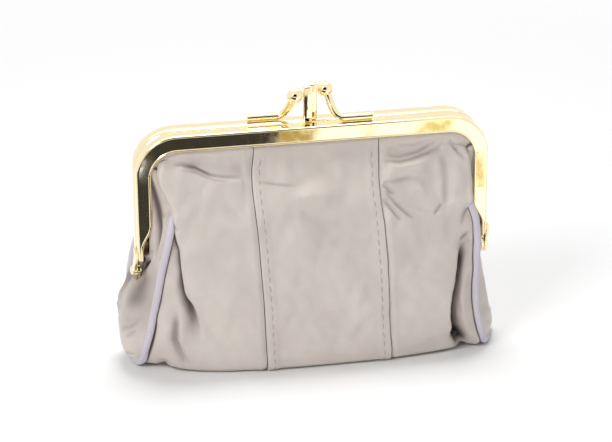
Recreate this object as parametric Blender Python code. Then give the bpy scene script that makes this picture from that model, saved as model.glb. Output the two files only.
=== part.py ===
"""Kiss lock purse, closed and standing on its base.

Metres, +Z up, front towards -Y. The origin is on the floor under the middle of the purse.
Two pressed channel halves are riveted together at their ears, hold the leather and the lining
in their grooves, and close with a two-ball kiss lock on top. The bag is made of panels, two
gussets with piping in their seams, and a loose lining.
"""

import math

import bmesh
import bpy
from mathutils import Vector

# Metal frame, measured over the two closed halves
FRAME_WIDTH = 0.130
FRAME_DEPTH = 0.013
FRAME_TOP = 0.089
FRAME_CORNER_RADIUS = 0.015
HINGE_HEIGHT = 0.036
PARTING_GAP = 0.0003
SHEET = 0.0007
TOP_BAND = 0.0060
LEG_BAND = 0.0053
HINGE_BAND = 0.0019
INNER_WALL = 0.0046
LIP_PROUD = 0.0003
LIP_HEIGHT = 0.0009
FRONT_EDGE_RADIUS = 0.0007
PARTING_EDGE_RADIUS = 0.0020
LEG_END_RISE = 0.0060
BAND_TAPER_LOW = 0.0105
BAND_TAPER_HIGH = 0.0195

# Hinge ears and rivets
EAR_RADIUS = 0.0034
EAR_SHEET = 0.0008
EAR_OVERLAP = 0.0030
RIVET_RADIUS = 0.0009
RIVET_FIT = 0.00008
RIVET_PLAY = 0.0003
EAR_SINK = 0.00005
RIVET_HEAD_RADIUS = 0.0019
RIVET_HEAD_HEIGHT = 0.0011
RIVET_TAIL_RADIUS = 0.0015
RIVET_TAIL_HEIGHT = 0.0008

# Kiss lock
LOCK_SHIFT = -0.0003
BALL_RADIUS = 0.0029
BALL_RISE = 0.0110
BALL_OUT = 0.0060
BALL_CROSS = 0.0026
ARM_RADIUS = 0.0014
ARM_OUT = 0.0225
ARM_BEND_OUT = 0.0118
ARM_SET_BACK = 0.0034
ARM_LEAN_IN = 0.0040
ARM_LEAN_ACROSS = 0.0060
POST_WIDTH = 0.0034
POST_DEPTH = 0.0020
POST_HEIGHT = 0.0137
POST_OUT = 0.0011
POST_SET_BACK = 0.00135
POST_EDGE = 0.0008
BRAZE_GAP = 0.0003

# Bag
BAG_WIDTH = 0.142
BAG_DEPTH = 0.045
CENTRE_PANEL_WIDTH = 0.049
LEATHER = 0.0009
LINING = 0.0004
PLY_GAP = 0.00035
PANEL_GAP = 0.0005
PIPING_RADIUS = 0.0015
PIPING_GAP = 0.0007
GUSSET_GAP = 0.0008
TUCK = 0.0030
CORD_RADIUS = 0.0010
CORD_SHORT = 0.0038
HOLD_SHORT = 0.0030
SETTLE = 0.0002
SEAM_ENTRY = 50
GUSSET_ENTRY = 88
GUSSET_LOBE = 0.0035

# Outline of the bag down its middle: share of the bulge, share of the height under the band
CENTRE_SHARES = (
    (0.00, 1.000),
    (0.20, 0.905),
    (0.49, 0.780),
    (0.76, 0.620),
    (0.94, 0.450),
    (1.00, 0.260),
    (0.99, 0.100),
    (0.91, 0.022),
    (0.72, 0.000),
    (0.20, 0.000),
)
# Side seam: share of half the frame's width, share of the bulge, share of the height
SEAM_SHARES = (
    (0.852, 0.210, 0.870),
    (0.845, 0.440, 0.740),
    (0.872, 0.570, 0.600),
    (0.905, 0.600, 0.450),
    (0.932, 0.570, 0.300),
    (0.952, 0.500, 0.155),
    (0.970, 0.330, 0.055),
)
SEAM_FOOT_SHARE = 0.982
# Middle of a gusset under the hinge: share of its swell, share of the hinge height
GUSSET_SHARES = (
    (0.00, 0.970),
    (0.18, 0.860),
    (0.68, 0.700),
    (0.94, 0.540),
    (1.00, 0.370),
    (0.82, 0.180),
    (0.34, 0.055),
)
# Steps and sides of the faceted surfaces
PANEL_ROWS = 16
SIDE_COLUMNS = 5
CENTRE_COLUMNS = 6
GUSSET_COLUMNS = 7
CORNER_STEPS = 8
CURVE_STEPS = 8
ARM_STEPS = 8
ROUND_SIDES = 16
BALL_RINGS = 10
BULGE_POWER_SHARE = 2.6
CROWD_SHARE = 1.25

HALF_WIDTH = FRAME_WIDTH / 2
HALF_DEPTH = FRAME_DEPTH / 2
MOUTH_HEIGHT = FRAME_TOP - TOP_BAND
LEG_END = HINGE_HEIGHT + LEG_END_RISE
SKIN_IN_FRAME = HALF_DEPTH - SHEET - PLY_GAP
BULGE = BAG_DEPTH / 2 - SKIN_IN_FRAME
EAR_INNER = HALF_WIDTH - EAR_SHEET - EAR_SINK
EAR_OUTER = HALF_WIDTH + PARTING_GAP
GUSSET_AT_HINGE = EAR_INNER - RIVET_PLAY - RIVET_TAIL_HEIGHT - PLY_GAP * 4
MOUTH_INSET = TOP_BAND + PLY_GAP * 3
FRONT, REAR = -1, 1
LEFT, RIGHT = -1, 1


def clear_scene():
    for obj in list(bpy.data.objects):
        bpy.data.objects.remove(obj)


def material(name, colour, roughness, metallic):
    made = bpy.data.materials.new(name)
    made.use_nodes = True
    shader = made.node_tree.nodes["Principled BSDF"]
    shader.inputs["Base Color"].default_value = (*colour, 1)
    shader.inputs["Roughness"].default_value = roughness
    shader.inputs["Metallic"].default_value = metallic
    return made


def link(name, mesh, finish, smooth_below=40):
    obj = bpy.data.objects.new(name, mesh)
    bpy.context.scene.collection.objects.link(obj)
    if finish:
        mesh.materials.append(finish)
        mesh.shade_smooth()
        mesh.set_sharp_from_angle(angle=math.radians(smooth_below))
    return obj


def mesh_from(bm, name):
    bmesh.ops.recalc_face_normals(bm, faces=bm.faces)
    if bm.calc_volume(signed=True) < 0:
        bmesh.ops.reverse_faces(bm, faces=bm.faces)
    mesh = bpy.data.meshes.new(name)
    bm.to_mesh(mesh)
    bm.free()
    return mesh


def hide_tool(obj):
    obj.hide_render = True
    obj.display_type = "WIRE"


def boolean(obj, tool, operation):
    step = obj.modifiers.new(operation.title() + " " + tool.name, "BOOLEAN")
    step.operation = operation
    step.object = tool
    hide_tool(tool)


def smooth_step(low, high, value):
    t = min(1.0, max(0.0, (value - low) / (high - low)))
    return t * t * (3 - 2 * t)


def evenly(points, count):
    """The line through the points again, as count equal steps."""
    lengths = [(b - a).length for a, b in zip(points, points[1:])]
    total = sum(lengths)
    made = []
    for i in range(count + 1):
        left = total * i / count
        k = 0
        while k < len(lengths) - 1 and left > lengths[k]:
            left -= lengths[k]
            k += 1
        made.append(points[k].lerp(points[k + 1], min(1.0, left / lengths[k])))
    return made


def spline(points, count):
    """A smooth curve through the points, as count equal steps."""
    steps = [b - a for a, b in zip(points, points[1:])]
    slopes = [steps[0].normalized()]
    for a, b in zip(steps, steps[1:]):
        slopes.append((a.normalized() * b.length + b.normalized() * a.length) / (a.length + b.length))
    slopes.append(steps[-1].normalized())
    dense = [points[0]]
    for k, step in enumerate(steps):
        for i in range(CURVE_STEPS):
            t = (i + 1) / CURVE_STEPS
            dense.append(
                points[k] * (2 * t**3 - 3 * t**2 + 1)
                + points[k + 1] * (3 * t**2 - 2 * t**3)
                + slopes[k] * step.length * (t**3 - 2 * t**2 + t)
                + slopes[k + 1] * step.length * (t**3 - t**2)
            )
    return evenly(dense, count)


def loft(name, rings):
    """A closed solid through equal rings of points, capped at both ends."""
    bm = bmesh.new()
    loops = [[bm.verts.new(point) for point in ring] for ring in rings]
    for low, high in zip(loops, loops[1:]):
        for k in range(len(low)):
            n = (k + 1) % len(low)
            bm.faces.new((low[k], low[n], high[n], high[k]))
    bm.faces.new(loops[0])
    bm.faces.new(reversed(loops[-1]))
    return mesh_from(bm, name)


def tube(name, points, radius, finish, resolution):
    curve = bpy.data.curves.new(name, "CURVE")
    curve.dimensions = "3D"
    curve.bevel_depth = radius
    curve.bevel_resolution = resolution
    curve.use_fill_caps = True
    run = curve.splines.new("POLY")
    run.points.add(len(points) - 1)
    for spot, point in zip(run.points, points):
        spot.co = (*point, 1)
    obj = bpy.data.objects.new(name, curve)
    bpy.context.scene.collection.objects.link(obj)
    curve.materials.append(finish)
    return obj


# Frame halves


def frame_stations():
    """Places along the outer edge from the left ear over the top to the right ear, each with its inward direction."""
    left = []
    for rise in (0, BAND_TAPER_LOW - LEG_END_RISE, BAND_TAPER_HIGH - LEG_END_RISE):
        left.append((Vector((-HALF_WIDTH, 0, LEG_END + rise)), Vector((1, 0, 0))))
    centre = Vector(
        (-HALF_WIDTH + FRAME_CORNER_RADIUS, 0, FRAME_TOP - FRAME_CORNER_RADIUS)
    )
    for k in range(CORNER_STEPS + 1):
        turn = math.pi - k / CORNER_STEPS * math.pi / 2
        out = Vector((math.cos(turn), 0, math.sin(turn)))
        left.append((centre + out * FRAME_CORNER_RADIUS, -out))
    right = [
        (Vector((-place.x, 0, place.z)), Vector((-inward.x, 0, inward.z)))
        for place, inward in reversed(left)
    ]
    return left + right


def band_at(place, inward):
    """Height of the visible band: full on the top bar, less on the legs, cut back near the hinge."""
    rise = place.z - HINGE_HEIGHT
    if rise < BAND_TAPER_HIGH - PARTING_GAP:
        return HINGE_BAND
    return LEG_BAND + (TOP_BAND - LEG_BAND) * abs(inward.z)


def channel_section(band):
    """Depth and inset of the pressed channel, for the front half, with both inset 0 at the outer edge."""
    front = -HALF_DEPTH
    parting = -PARTING_GAP / 2
    inner = front + SHEET
    outside = [
        (front, band),
        (front - LIP_PROUD, band - LIP_HEIGHT / 4),
        (front - LIP_PROUD, band - LIP_HEIGHT * 3 / 4),
        (front, band - LIP_HEIGHT),
    ]
    for k in range(3):
        turn = k / 2 * math.pi / 2
        outside.append(
            (
                front + FRONT_EDGE_RADIUS * (1 - math.cos(turn)),
                FRONT_EDGE_RADIUS * (1 - math.sin(turn)),
            )
        )
    for k in range(5):
        turn = k / 4 * math.pi / 2
        outside.append(
            (
                parting - PARTING_EDGE_RADIUS * (1 - math.sin(turn)),
                PARTING_EDGE_RADIUS * (1 - math.cos(turn)),
            )
        )
    outside.append((parting, INNER_WALL))
    inside = [(parting - SHEET, INNER_WALL)]
    for k in range(4):
        turn = (1 - k / 3) * math.pi / 2
        inside.append(
            (
                parting - SHEET - (PARTING_EDGE_RADIUS - SHEET) * (1 - math.sin(turn)),
                SHEET + (PARTING_EDGE_RADIUS - SHEET) * (1 - math.cos(turn)),
            )
        )
    inside += [(inner, SHEET), (inner, band)]
    return outside + inside


def ear_plate(name, side, half, low):
    """A flat ear from the leg's web down round the rivet. low is its inner face across the purse."""
    foot = LEG_END + EAR_OVERLAP
    side_y = HALF_DEPTH - FRONT_EDGE_RADIUS + EAR_SINK * 3
    outline = [
        (half * side_y, foot),
        (half * side_y, LEG_END),
    ]
    for k in range(ROUND_SIDES // 2 + 3):
        turn = math.radians(20) - k / (ROUND_SIDES // 2 + 2) * math.radians(220)
        outline.append(
            (
                half * EAR_RADIUS * math.cos(turn),
                HINGE_HEIGHT + EAR_RADIUS * math.sin(turn),
            )
        )
    outline += [(half * SHEET, LEG_END - PARTING_GAP), (half * SHEET, foot)]
    rings = [
        [(side * x, y, z) for y, z in outline] for x in (low, low + EAR_SHEET)
    ]
    return link(name, loft(name, rings), None)


def block(name, low, high):
    bm = bmesh.new()
    bmesh.ops.create_cube(bm, size=1)
    for vert in bm.verts:
        vert.co = [
            low[i] + (high[i] - low[i]) * (vert.co[i] + 0.5) for i in range(3)
        ]
    return link(name, mesh_from(bm, name), None)


def rod_along_x(name, low, high, radius):
    bm = bmesh.new()
    bmesh.ops.create_cone(
        bm,
        cap_ends=True,
        segments=ROUND_SIDES,
        radius1=radius,
        radius2=radius,
        depth=high - low,
    )
    for vert in bm.verts:
        vert.co = ((low + high) / 2 + vert.co.z, vert.co.x, HINGE_HEIGHT + vert.co.y)
    return link(name, mesh_from(bm, name), None)


def frame_half(name, half, finish):
    """One channel half. The front half's ears lie outside the rear half's."""
    rings = []
    for place, inward in frame_stations():
        section = channel_section(band_at(place, inward))
        rings.append(
            [place + inward * inset + Vector((0, -half * depth, 0)) for depth, inset in section]
        )
    obj = link(name, loft(name, rings), finish)
    for side in (LEFT, RIGHT):
        tag = f"{name} {'left' if side == LEFT else 'right'}"
        low = EAR_OUTER if half == FRONT else EAR_INNER
        boolean(obj, ear_plate(f"{tag} ear", side, half, low), "UNION")
        if half == FRONT:
            near = sorted((side * (HALF_WIDTH - SHEET / 2), side * (EAR_OUTER + EAR_SHEET / 2)))
            step = block(
                f"{tag} ear step",
                (near[0], half * (HALF_DEPTH - FRONT_EDGE_RADIUS * 2), LEG_END + SHEET),
                (near[1], half * SHEET * 2, LEG_END + EAR_OVERLAP - SHEET / 2),
            )
            boolean(obj, step, "UNION")
        ends = sorted((side * (EAR_INNER - SHEET), side * (EAR_OUTER + EAR_SHEET * 2)))
        hole = rod_along_x(f"{tag} rivet hole", *ends, RIVET_RADIUS + RIVET_FIT)
        boolean(obj, hole, "DIFFERENCE")
    return obj


def rivet(name, side, finish):
    """Turned along X: domed head outside, shank through both ears, spread tail inside."""
    tail = EAR_INNER - RIVET_PLAY
    head = EAR_OUTER + EAR_SHEET + RIVET_PLAY
    outline = [
        (tail - RIVET_TAIL_HEIGHT, RIVET_TAIL_RADIUS * 3 / 4),
        (tail - RIVET_TAIL_HEIGHT / 2, RIVET_TAIL_RADIUS),
        (tail, RIVET_TAIL_RADIUS),
        (tail, RIVET_RADIUS),
        (head, RIVET_RADIUS),
    ]
    for k in range(5):
        turn = k / 5 * math.pi / 2
        outline.append(
            (
                head + RIVET_HEAD_HEIGHT * math.sin(turn),
                RIVET_HEAD_RADIUS * math.cos(turn),
            )
        )
    rings = [
        [
            (
                side * x,
                radius * math.cos(side * k / ROUND_SIDES * math.tau),
                HINGE_HEIGHT + radius * math.sin(side * k / ROUND_SIDES * math.tau),
            )
            for k in range(ROUND_SIDES)
        ]
        for x, radius in outline
    ]
    return link(name, loft(name, rings), finish)


# Kiss lock


def lock_arm(name, half, finish):
    """A bent rod brazed along the top of one half, whose end leans across to the other half's post."""
    side = -half
    low = FRAME_TOP + ARM_RADIUS + BRAZE_GAP
    top = FRAME_TOP + BALL_RISE
    near = half * ARM_SET_BACK
    ball = Vector((LOCK_SHIFT + side * BALL_OUT, -half * BALL_CROSS, top))
    start = Vector((LOCK_SHIFT + side * ARM_OUT, near, low))
    bend = Vector((LOCK_SHIFT + side * ARM_BEND_OUT, near, low))
    lean = Vector((-side * ARM_LEAN_IN, -half * ARM_LEAN_ACROSS, BALL_RISE)).normalized()
    neck = ball - lean * (BALL_RADIUS + BRAZE_GAP)
    first = bend + Vector((-side * BALL_RISE / 3, 0, 0))
    last = neck - lean * BALL_RISE / 3
    run = [start]
    for k in range(ARM_STEPS + 1):
        t = k / ARM_STEPS
        run.append(
            bend * (1 - t) ** 3
            + first * 3 * t * (1 - t) ** 2
            + last * 3 * t**2 * (1 - t)
            + neck * t**3
        )
    return tube(name, run, ARM_RADIUS, finish, 2), ball


def lock_ball(name, centre, finish):
    mesh = bpy.data.meshes.new(name)
    bm = bmesh.new()
    bmesh.ops.create_uvsphere(
        bm, u_segments=ROUND_SIDES, v_segments=BALL_RINGS, radius=BALL_RADIUS
    )
    bm.to_mesh(mesh)
    bm.free()
    obj = link(name, mesh, finish)
    obj.location = centre
    return obj


def lock_post(name, half, finish):
    """An upright with rounded edges that the other half's ball snaps past."""
    bm = bmesh.new()
    bmesh.ops.create_cube(bm, size=1)
    for vert in bm.verts:
        vert.co = (
            vert.co.x * POST_WIDTH,
            vert.co.y * POST_DEPTH,
            (vert.co.z + 0.5) * POST_HEIGHT,
        )
    upright = [e for e in bm.edges if abs(e.verts[0].co.z - e.verts[1].co.z) > POST_EDGE]
    bmesh.ops.bevel(
        bm, geom=upright, offset=POST_EDGE, segments=3, affect="EDGES", profile=0.5
    )
    top = [
        e for e in bm.edges if min(v.co.z for v in e.verts) > POST_HEIGHT - POST_EDGE / 2
    ]
    bmesh.ops.bevel(
        bm, geom=top, offset=POST_EDGE / 2, segments=2, affect="EDGES", profile=0.5
    )
    obj = link(name, mesh_from(bm, name), finish)
    obj.location = (
        LOCK_SHIFT + half * POST_OUT,
        half * POST_SET_BACK,
        FRAME_TOP + BRAZE_GAP,
    )
    return obj


# Bag surfaces: all for the front half at -Y, and mirrored for the rear


def mouth_point(x, inset):
    """A point on the front skin's line in the groove, along the top bar and round its corner."""
    reach = FRAME_CORNER_RADIUS - inset
    past = max(0, abs(x) - (HALF_WIDTH - FRAME_CORNER_RADIUS))
    drop = reach - math.sqrt(reach**2 - past**2)
    return Vector((x, -SKIN_IN_FRAME, FRAME_TOP - inset - drop))


def held(share, inset):
    """A point on the front skin's line in the groove at +X, from the gusset's entry on the corner to the leg's end."""
    entry = math.radians(GUSSET_ENTRY)
    arc = FRAME_CORNER_RADIUS * (math.pi / 2 - entry)
    leg = FRAME_TOP - FRAME_CORNER_RADIUS - LEG_END - HOLD_SHORT
    along = share * (arc + leg)
    if along < arc:
        return corner_point(entry + along / FRAME_CORNER_RADIUS, inset)
    drop = FRAME_TOP - FRAME_CORNER_RADIUS - (along - arc)
    return Vector((HALF_WIDTH - inset, -SKIN_IN_FRAME, drop))


def corner_point(turn, inset):
    """A point on the skin's line in the frame's corner at +X. turn is measured from straight up."""
    reach = FRAME_CORNER_RADIUS - inset
    return Vector(
        (
            HALF_WIDTH - FRAME_CORNER_RADIUS + reach * math.sin(turn),
            -SKIN_IN_FRAME,
            FRAME_TOP - FRAME_CORNER_RADIUS + reach * math.cos(turn),
        )
    )


def down(points):
    """Rows along a line: the tucked point and the mouth of the groove as they are, and equal steps from there."""
    return [points[0], *spline(points[1:], PANEL_ROWS - 1)]


def centre_line():
    """Down the middle of the front: in the groove, out under the band, over the bulge, round to the base seam."""
    points = [Vector((0, -SKIN_IN_FRAME, FRAME_TOP - TOP_BAND + TUCK))]
    for bulge, height in CENTRE_SHARES:
        y = -SKIN_IN_FRAME - BULGE * bulge
        points.append(Vector((0, y, (FRAME_TOP - MOUTH_INSET) * height)))
    points[-1].y = -SKIN_IN_FRAME
    points.append(Vector((0, -PANEL_GAP / 2, 0)))
    for point in points[-3:]:
        point.z = -SETTLE
    return points


def seam_line():
    """The front side seam at +X, from the groove in the frame's corner down to the middle of the base."""
    turn = math.radians(SEAM_ENTRY)
    points = [corner_point(turn, TOP_BAND - TUCK), corner_point(turn, MOUTH_INSET + PLY_GAP * 2)]
    for across, bulge, height in SEAM_SHARES:
        y = -SKIN_IN_FRAME - BULGE * bulge
        points.append(Vector((HALF_WIDTH * across, y, MOUTH_HEIGHT * height)))
    foot = HALF_WIDTH * SEAM_FOOT_SHARE
    for y in (-SKIN_IN_FRAME, 0):
        points.append(Vector((foot, y, PIPING_RADIUS + PIPING_GAP)))
    return points


def places_across(first, last, columns):
    """Places from one edge of a panel to the other, closer together towards a side seam."""
    places = []
    for k in range(columns + 1):
        share = k / columns
        if first > 0:
            share = 1 - (1 - share) ** CROWD_SHARE
        elif last < 0:
            share = share**CROWD_SHARE
        places.append(first + (last - first) * share)
    return places


def panel_grid(low, high, columns, trim):
    """Points of the front skin between two places across it, kept clear of the side seams by the trim."""
    grid = []
    clearance = PIPING_RADIUS + PIPING_GAP + trim
    for inset in (TOP_BAND - TUCK, MOUTH_INSET):
        turn = math.radians(SEAM_ENTRY) - (clearance + PLY_GAP * 2) / (FRAME_CORNER_RADIUS - inset)
        limit = corner_point(turn, inset).x
        across = places_across(max(-limit, low), min(limit, high), columns)
        grid.append([mouth_point(x, inset) for x in across])
    for centre, seam in list(zip(down(centre_line()), down(seam_line())))[2:]:
        limit = seam.x - clearance
        row = []
        for x in places_across(max(-limit, low), min(limit, high), columns):
            share = abs(x / (limit + trim)) ** BULGE_POWER_SHARE
            y = centre.y + (seam.y - centre.y) * share
            row.append(Vector((x, y, max(0, centre.z + (seam.z - centre.z) * share))))
        grid.append(row)
    for point in grid[-1]:
        point.y = -PANEL_GAP / 2
    return grid


def sweep(edge, end, q, swell):
    """A point on the gusset's way from the seam to its end. swell is 0 for a hollow way and 1 for a full one."""
    turn = q * math.pi / 2
    z = edge.z + (end.z - edge.z) * q
    full = Vector((edge.x + (end.x - edge.x) * math.sin(turn), end.y + (edge.y - end.y) * math.cos(turn), z))
    hollow = Vector((end.x + (edge.x - end.x) * math.cos(turn), edge.y + (end.y - edge.y) * math.sin(turn), z))
    made = hollow.lerp(full, swell)
    made.x += GUSSET_LOBE * swell * math.sin(math.pi * q) ** 2 * smooth_step(0, HINGE_HEIGHT, z)
    return made


def clear_start(edge, end, swell, clearance):
    """The share of the way where the gusset is clear of the piping in its seam."""
    q = 0.0
    while (sweep(edge, end, q, swell) - edge).length < clearance:
        q += 1 / CURVE_STEPS**2
    return q


def free_middle(rows):
    """The middle of a gusset under the hinge, over its swell to the base."""
    swell = BAG_WIDTH / 2 - GUSSET_AT_HINGE
    points = [Vector((GUSSET_AT_HINGE, 0, HINGE_HEIGHT + EAR_RADIUS))]
    for out, height in GUSSET_SHARES:
        points.append(Vector((GUSSET_AT_HINGE + swell * out, 0, HINGE_HEIGHT * height)))
    foot = seam_line()[-1]
    walls = LEATHER + PLY_GAP + LINING
    points.append(Vector((foot.x + PIPING_RADIUS + PIPING_GAP + walls, 0, foot.z)))
    return spline(points, rows)


def gusset_half(trim):
    """Front half of the gusset at +X. Rows go down, columns from the seam to the groove or the middle."""
    clearance = PIPING_RADIUS + GUSSET_GAP + trim
    seam = down(seam_line())
    held_rows = sum(1 for point in seam if point.z > LEG_END)
    free = free_middle(PANEL_ROWS - held_rows)
    mouth_inset = LEG_BAND + PLY_GAP * 3
    steps = GUSSET_COLUMNS - 1
    entry = math.radians(SEAM_ENTRY) + clearance / (FRAME_CORNER_RADIUS - MOUTH_INSET)
    last = math.radians(GUSSET_ENTRY)
    grid = []
    for inset_by in (TOP_BAND - TUCK, MOUTH_INSET):
        grid.append([corner_point(entry + (last - entry) * k / steps, inset_by) for k in range(steps + 1)])
    grid[0].append(held(TUCK, TOP_BAND - TUCK))
    grid[1].append(held(TUCK * 2, TOP_BAND - TUCK))
    for i in range(2, held_rows):
        share = (i - 1) / (held_rows - 2)
        inset_by = mouth_inset + (MOUTH_INSET - mouth_inset) * (1 - share)
        end = held(share, inset_by)
        swell = share / 2
        q0 = clear_start(seam[i], end, swell, clearance)
        row = [sweep(seam[i], end, q0 + (1 - q0) * k / steps, swell) for k in range(steps + 1)]
        tuck = TUCK * min(1.0, (held_rows - i) / 3)
        row.append(held(share, inset_by - tuck))
        grid.append(row)
    for i in range(held_rows, PANEL_ROWS + 1):
        end = free[i - held_rows]
        swell = min(1.0, (i - held_rows + 1) / 3)
        swell = (1 + swell) / 2
        if i == PANEL_ROWS:
            grid.append([end] * (GUSSET_COLUMNS + 1))
            continue
        q0 = clear_start(seam[i], end, swell, clearance)
        columns = range(GUSSET_COLUMNS + 1)
        grid.append([sweep(seam[i], end, q0 + (1 - q0) * k / GUSSET_COLUMNS, swell) for k in columns])
    return grid


def shell(name, patches, skip, thickness, finish, outward):
    """A closed wall under a surface: it starts at the skip below the surface. outward tells its outer side."""
    bm = bmesh.new()
    known = {}

    def vert(point):
        key = tuple(round(c / (PLY_GAP / 100)) for c in point)
        if key not in known:
            known[key] = bm.verts.new(point)
        return known[key]

    for patch in patches:
        for low, high in zip(patch, patch[1:]):
            for k in range(len(low) - 1):
                for corners in ((low[k], low[k + 1], high[k + 1]), (low[k], high[k + 1], high[k])):
                    corners = list(dict.fromkeys(vert(p) for p in corners))
                    if len(corners) > 2:
                        bm.faces.new(corners)
    bmesh.ops.recalc_face_normals(bm, faces=bm.faces)
    bm.normal_update()
    if sum((f.normal for f in bm.faces), Vector()).dot(outward) < 0:
        bmesh.ops.reverse_faces(bm, faces=bm.faces)
        bm.normal_update()
    outer = list(bm.verts)
    inner = {v: bm.verts.new(v.co - v.normal * (skip + thickness)) for v in outer}
    for face in list(bm.faces):
        bm.faces.new([inner[v] for v in reversed(face.verts)])
        for loop in face.loops:
            a, b = loop.vert, loop.link_loop_next.vert
            if len(loop.edge.link_faces) == 1:
                bm.faces.new((b, a, inner[a], inner[b]))
    for v in outer:
        v.co -= v.normal * skip
    return link(name, mesh_from(bm, name), finish, 60)


def turned(grid, half):
    return [[Vector((p.x, p.y * -half, p.z)) for p in row] for row in grid]


def sided(grid, side):
    return [[Vector((p.x * side, p.y, p.z)) for p in row] for row in grid]


def panel_parts(trim):
    """The three parts of the front skin, which meet at two seams."""
    seam = CENTRE_PANEL_WIDTH / 2
    gap = PANEL_GAP / 2
    return (
        ("left", panel_grid(-HALF_WIDTH, -seam - gap, SIDE_COLUMNS, trim)),
        ("centre", panel_grid(-seam + gap, seam - gap, CENTRE_COLUMNS, trim)),
        ("right", panel_grid(seam + gap, HALF_WIDTH, SIDE_COLUMNS, trim)),
    )


def panels(half, word, finish):
    for place, grid in panel_parts(0):
        outward = Vector((0, half, 0))
        shell(f"{word}_panel_{place}", [turned(grid, half)], 0, LEATHER, finish, outward)


def lining_panel(half, word, finish):
    parts = [grid for _, grid in panel_parts(LEATHER + PLY_GAP)]
    grid = [left + middle + right for left, middle, right in zip(*parts)]
    outward = Vector((0, half, 0))
    shell(f"lining_{word}", [turned(grid, half)], LEATHER + PLY_GAP, LINING, finish, outward)


def gusset(name, side, skip, thickness, finish):
    """Both halves of a gusset, which share their middle below the hinge."""
    front = sided(gusset_half(skip), side)
    shell(name, [front, turned(front, REAR)], skip, thickness, finish, Vector((side, 0, 0)))


def piping(name, side, finish):
    """A leather-covered cord in the seams round one gusset, cut off at the frame's mouth."""
    line = spline(seam_line()[1:], (PANEL_ROWS - 1) * 2)
    run = [Vector((p.x * side, p.y, p.z)) for p in line]
    back = [Vector((p.x, -p.y, p.z)) for p in reversed(run[:-1])]
    return tube(name, run + back, PIPING_RADIUS, finish, 1)


def tuck_cord(name, half, finish):
    """The paper cord that wedges leather and lining in the groove of one half."""
    inset_by = SHEET + PLY_GAP + CORD_RADIUS
    depth = PARTING_GAP / 2 + SHEET + PLY_GAP * 2 + CORD_RADIUS
    run = []
    for place, inward in frame_stations():
        spot = place + inward * inset_by
        run.append(Vector((spot.x, half * depth, spot.z)))
    run[0].z += CORD_SHORT
    run[-1].z += CORD_SHORT
    return tube(name, run, CORD_RADIUS, finish, 1)


def build_purse():
    gold = material("gold_plated_steel", (0.83, 0.62, 0.20), 0.12, 1.0)
    leather = material("soft_leather", (0.62, 0.57, 0.53), 0.45, 0.0)
    trim = material("piping_leather", (0.60, 0.57, 0.63), 0.40, 0.0)
    cloth = material("lining_fabric", (0.50, 0.46, 0.43), 0.80, 0.0)
    paper = material("paper_cord", (0.72, 0.64, 0.50), 0.90, 0.0)

    for half, word in ((FRONT, "front"), (REAR, "rear")):
        frame_half(f"{word}_frame", half, gold)
        tuck_cord(f"{word}_tuck_cord", half, paper)
        _, ball = lock_arm(f"{word}_lock_arm", half, gold)
        lock_ball(f"{word}_lock_ball", ball, gold)
        lock_post(f"{word}_lock_post", half, gold)
    for half, word in ((FRONT, "front"), (REAR, "back")):
        panels(half, word, leather)
        lining_panel(half, word, cloth)
    for side, word in ((LEFT, "left"), (RIGHT, "right")):
        rivet(f"{word}_hinge_rivet", side, gold)
        gusset(f"{word}_gusset", side, 0, LEATHER, leather)
        gusset(f"lining_{word}_gusset", side, LEATHER + PLY_GAP, LINING, cloth)
        piping(f"{word}_piping", side, trim)


clear_scene()
build_purse()
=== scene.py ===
"""Kiss lock purse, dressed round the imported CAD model.

Design sizes are in millimetres and are turned to metres where a mesh takes them. +Z is up and the
front faces -Y. The leather is laid out as rows from the frame's groove down to the seam under the
base, and its folds are drawn as lines in front view, across and up.
"""

import sys
import logging
import math
from dataclasses import dataclass
from enum import Enum

import bpy
import numpy as np
from bpy.types import Material, Node, NodeSocket, NodeTree, Object
from mathutils import Matrix, Vector


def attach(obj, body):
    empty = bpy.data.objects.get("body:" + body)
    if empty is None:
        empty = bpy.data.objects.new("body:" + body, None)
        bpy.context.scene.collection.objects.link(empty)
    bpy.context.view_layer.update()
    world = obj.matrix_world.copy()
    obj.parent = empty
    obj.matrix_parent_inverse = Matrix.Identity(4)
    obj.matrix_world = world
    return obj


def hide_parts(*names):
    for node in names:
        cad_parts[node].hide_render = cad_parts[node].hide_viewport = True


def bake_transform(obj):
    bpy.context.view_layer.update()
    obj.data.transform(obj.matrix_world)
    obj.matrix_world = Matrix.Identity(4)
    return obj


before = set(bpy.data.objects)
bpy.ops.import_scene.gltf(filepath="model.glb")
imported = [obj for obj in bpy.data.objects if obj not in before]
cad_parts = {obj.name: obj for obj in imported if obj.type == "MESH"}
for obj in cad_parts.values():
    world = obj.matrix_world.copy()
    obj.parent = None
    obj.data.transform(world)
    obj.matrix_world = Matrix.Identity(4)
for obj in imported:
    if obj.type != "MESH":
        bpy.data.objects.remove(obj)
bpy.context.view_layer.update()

MM = 0.001
LOG = logging.getLogger("purse")


class Half(Enum):
    """One of the two halves that swing on the hinge rivets."""

    FRONT = -1
    REAR = 1

    @property
    def word(self) -> str:
        """Its word in names."""
        return self.name.lower()


class Side(Enum):
    """One of the two ends across the purse."""

    LEFT = -1
    RIGHT = 1


# Shading helpers


def linear(code: str) -> tuple[float, float, float, float]:
    """The linear colour of an sRGB hex value.

    Args:
        code: the colour as "#RRGGBB".

    Returns:
        Linear red, green and blue, and an alpha of 1.
    """
    parts = [int(code[i : i + 2], 16) / 255 for i in (1, 3, 5)]
    lit = [c / 12.92 if c <= 0.04045 else ((c + 0.055) / 1.055) ** 2.4 for c in parts]
    return (lit[0], lit[1], lit[2], 1.0)


def per_mm(size: float) -> float:
    """The scale of a texture whose cells are this many millimetres wide on Object coordinates."""
    return 1 / (size * MM)


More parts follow.
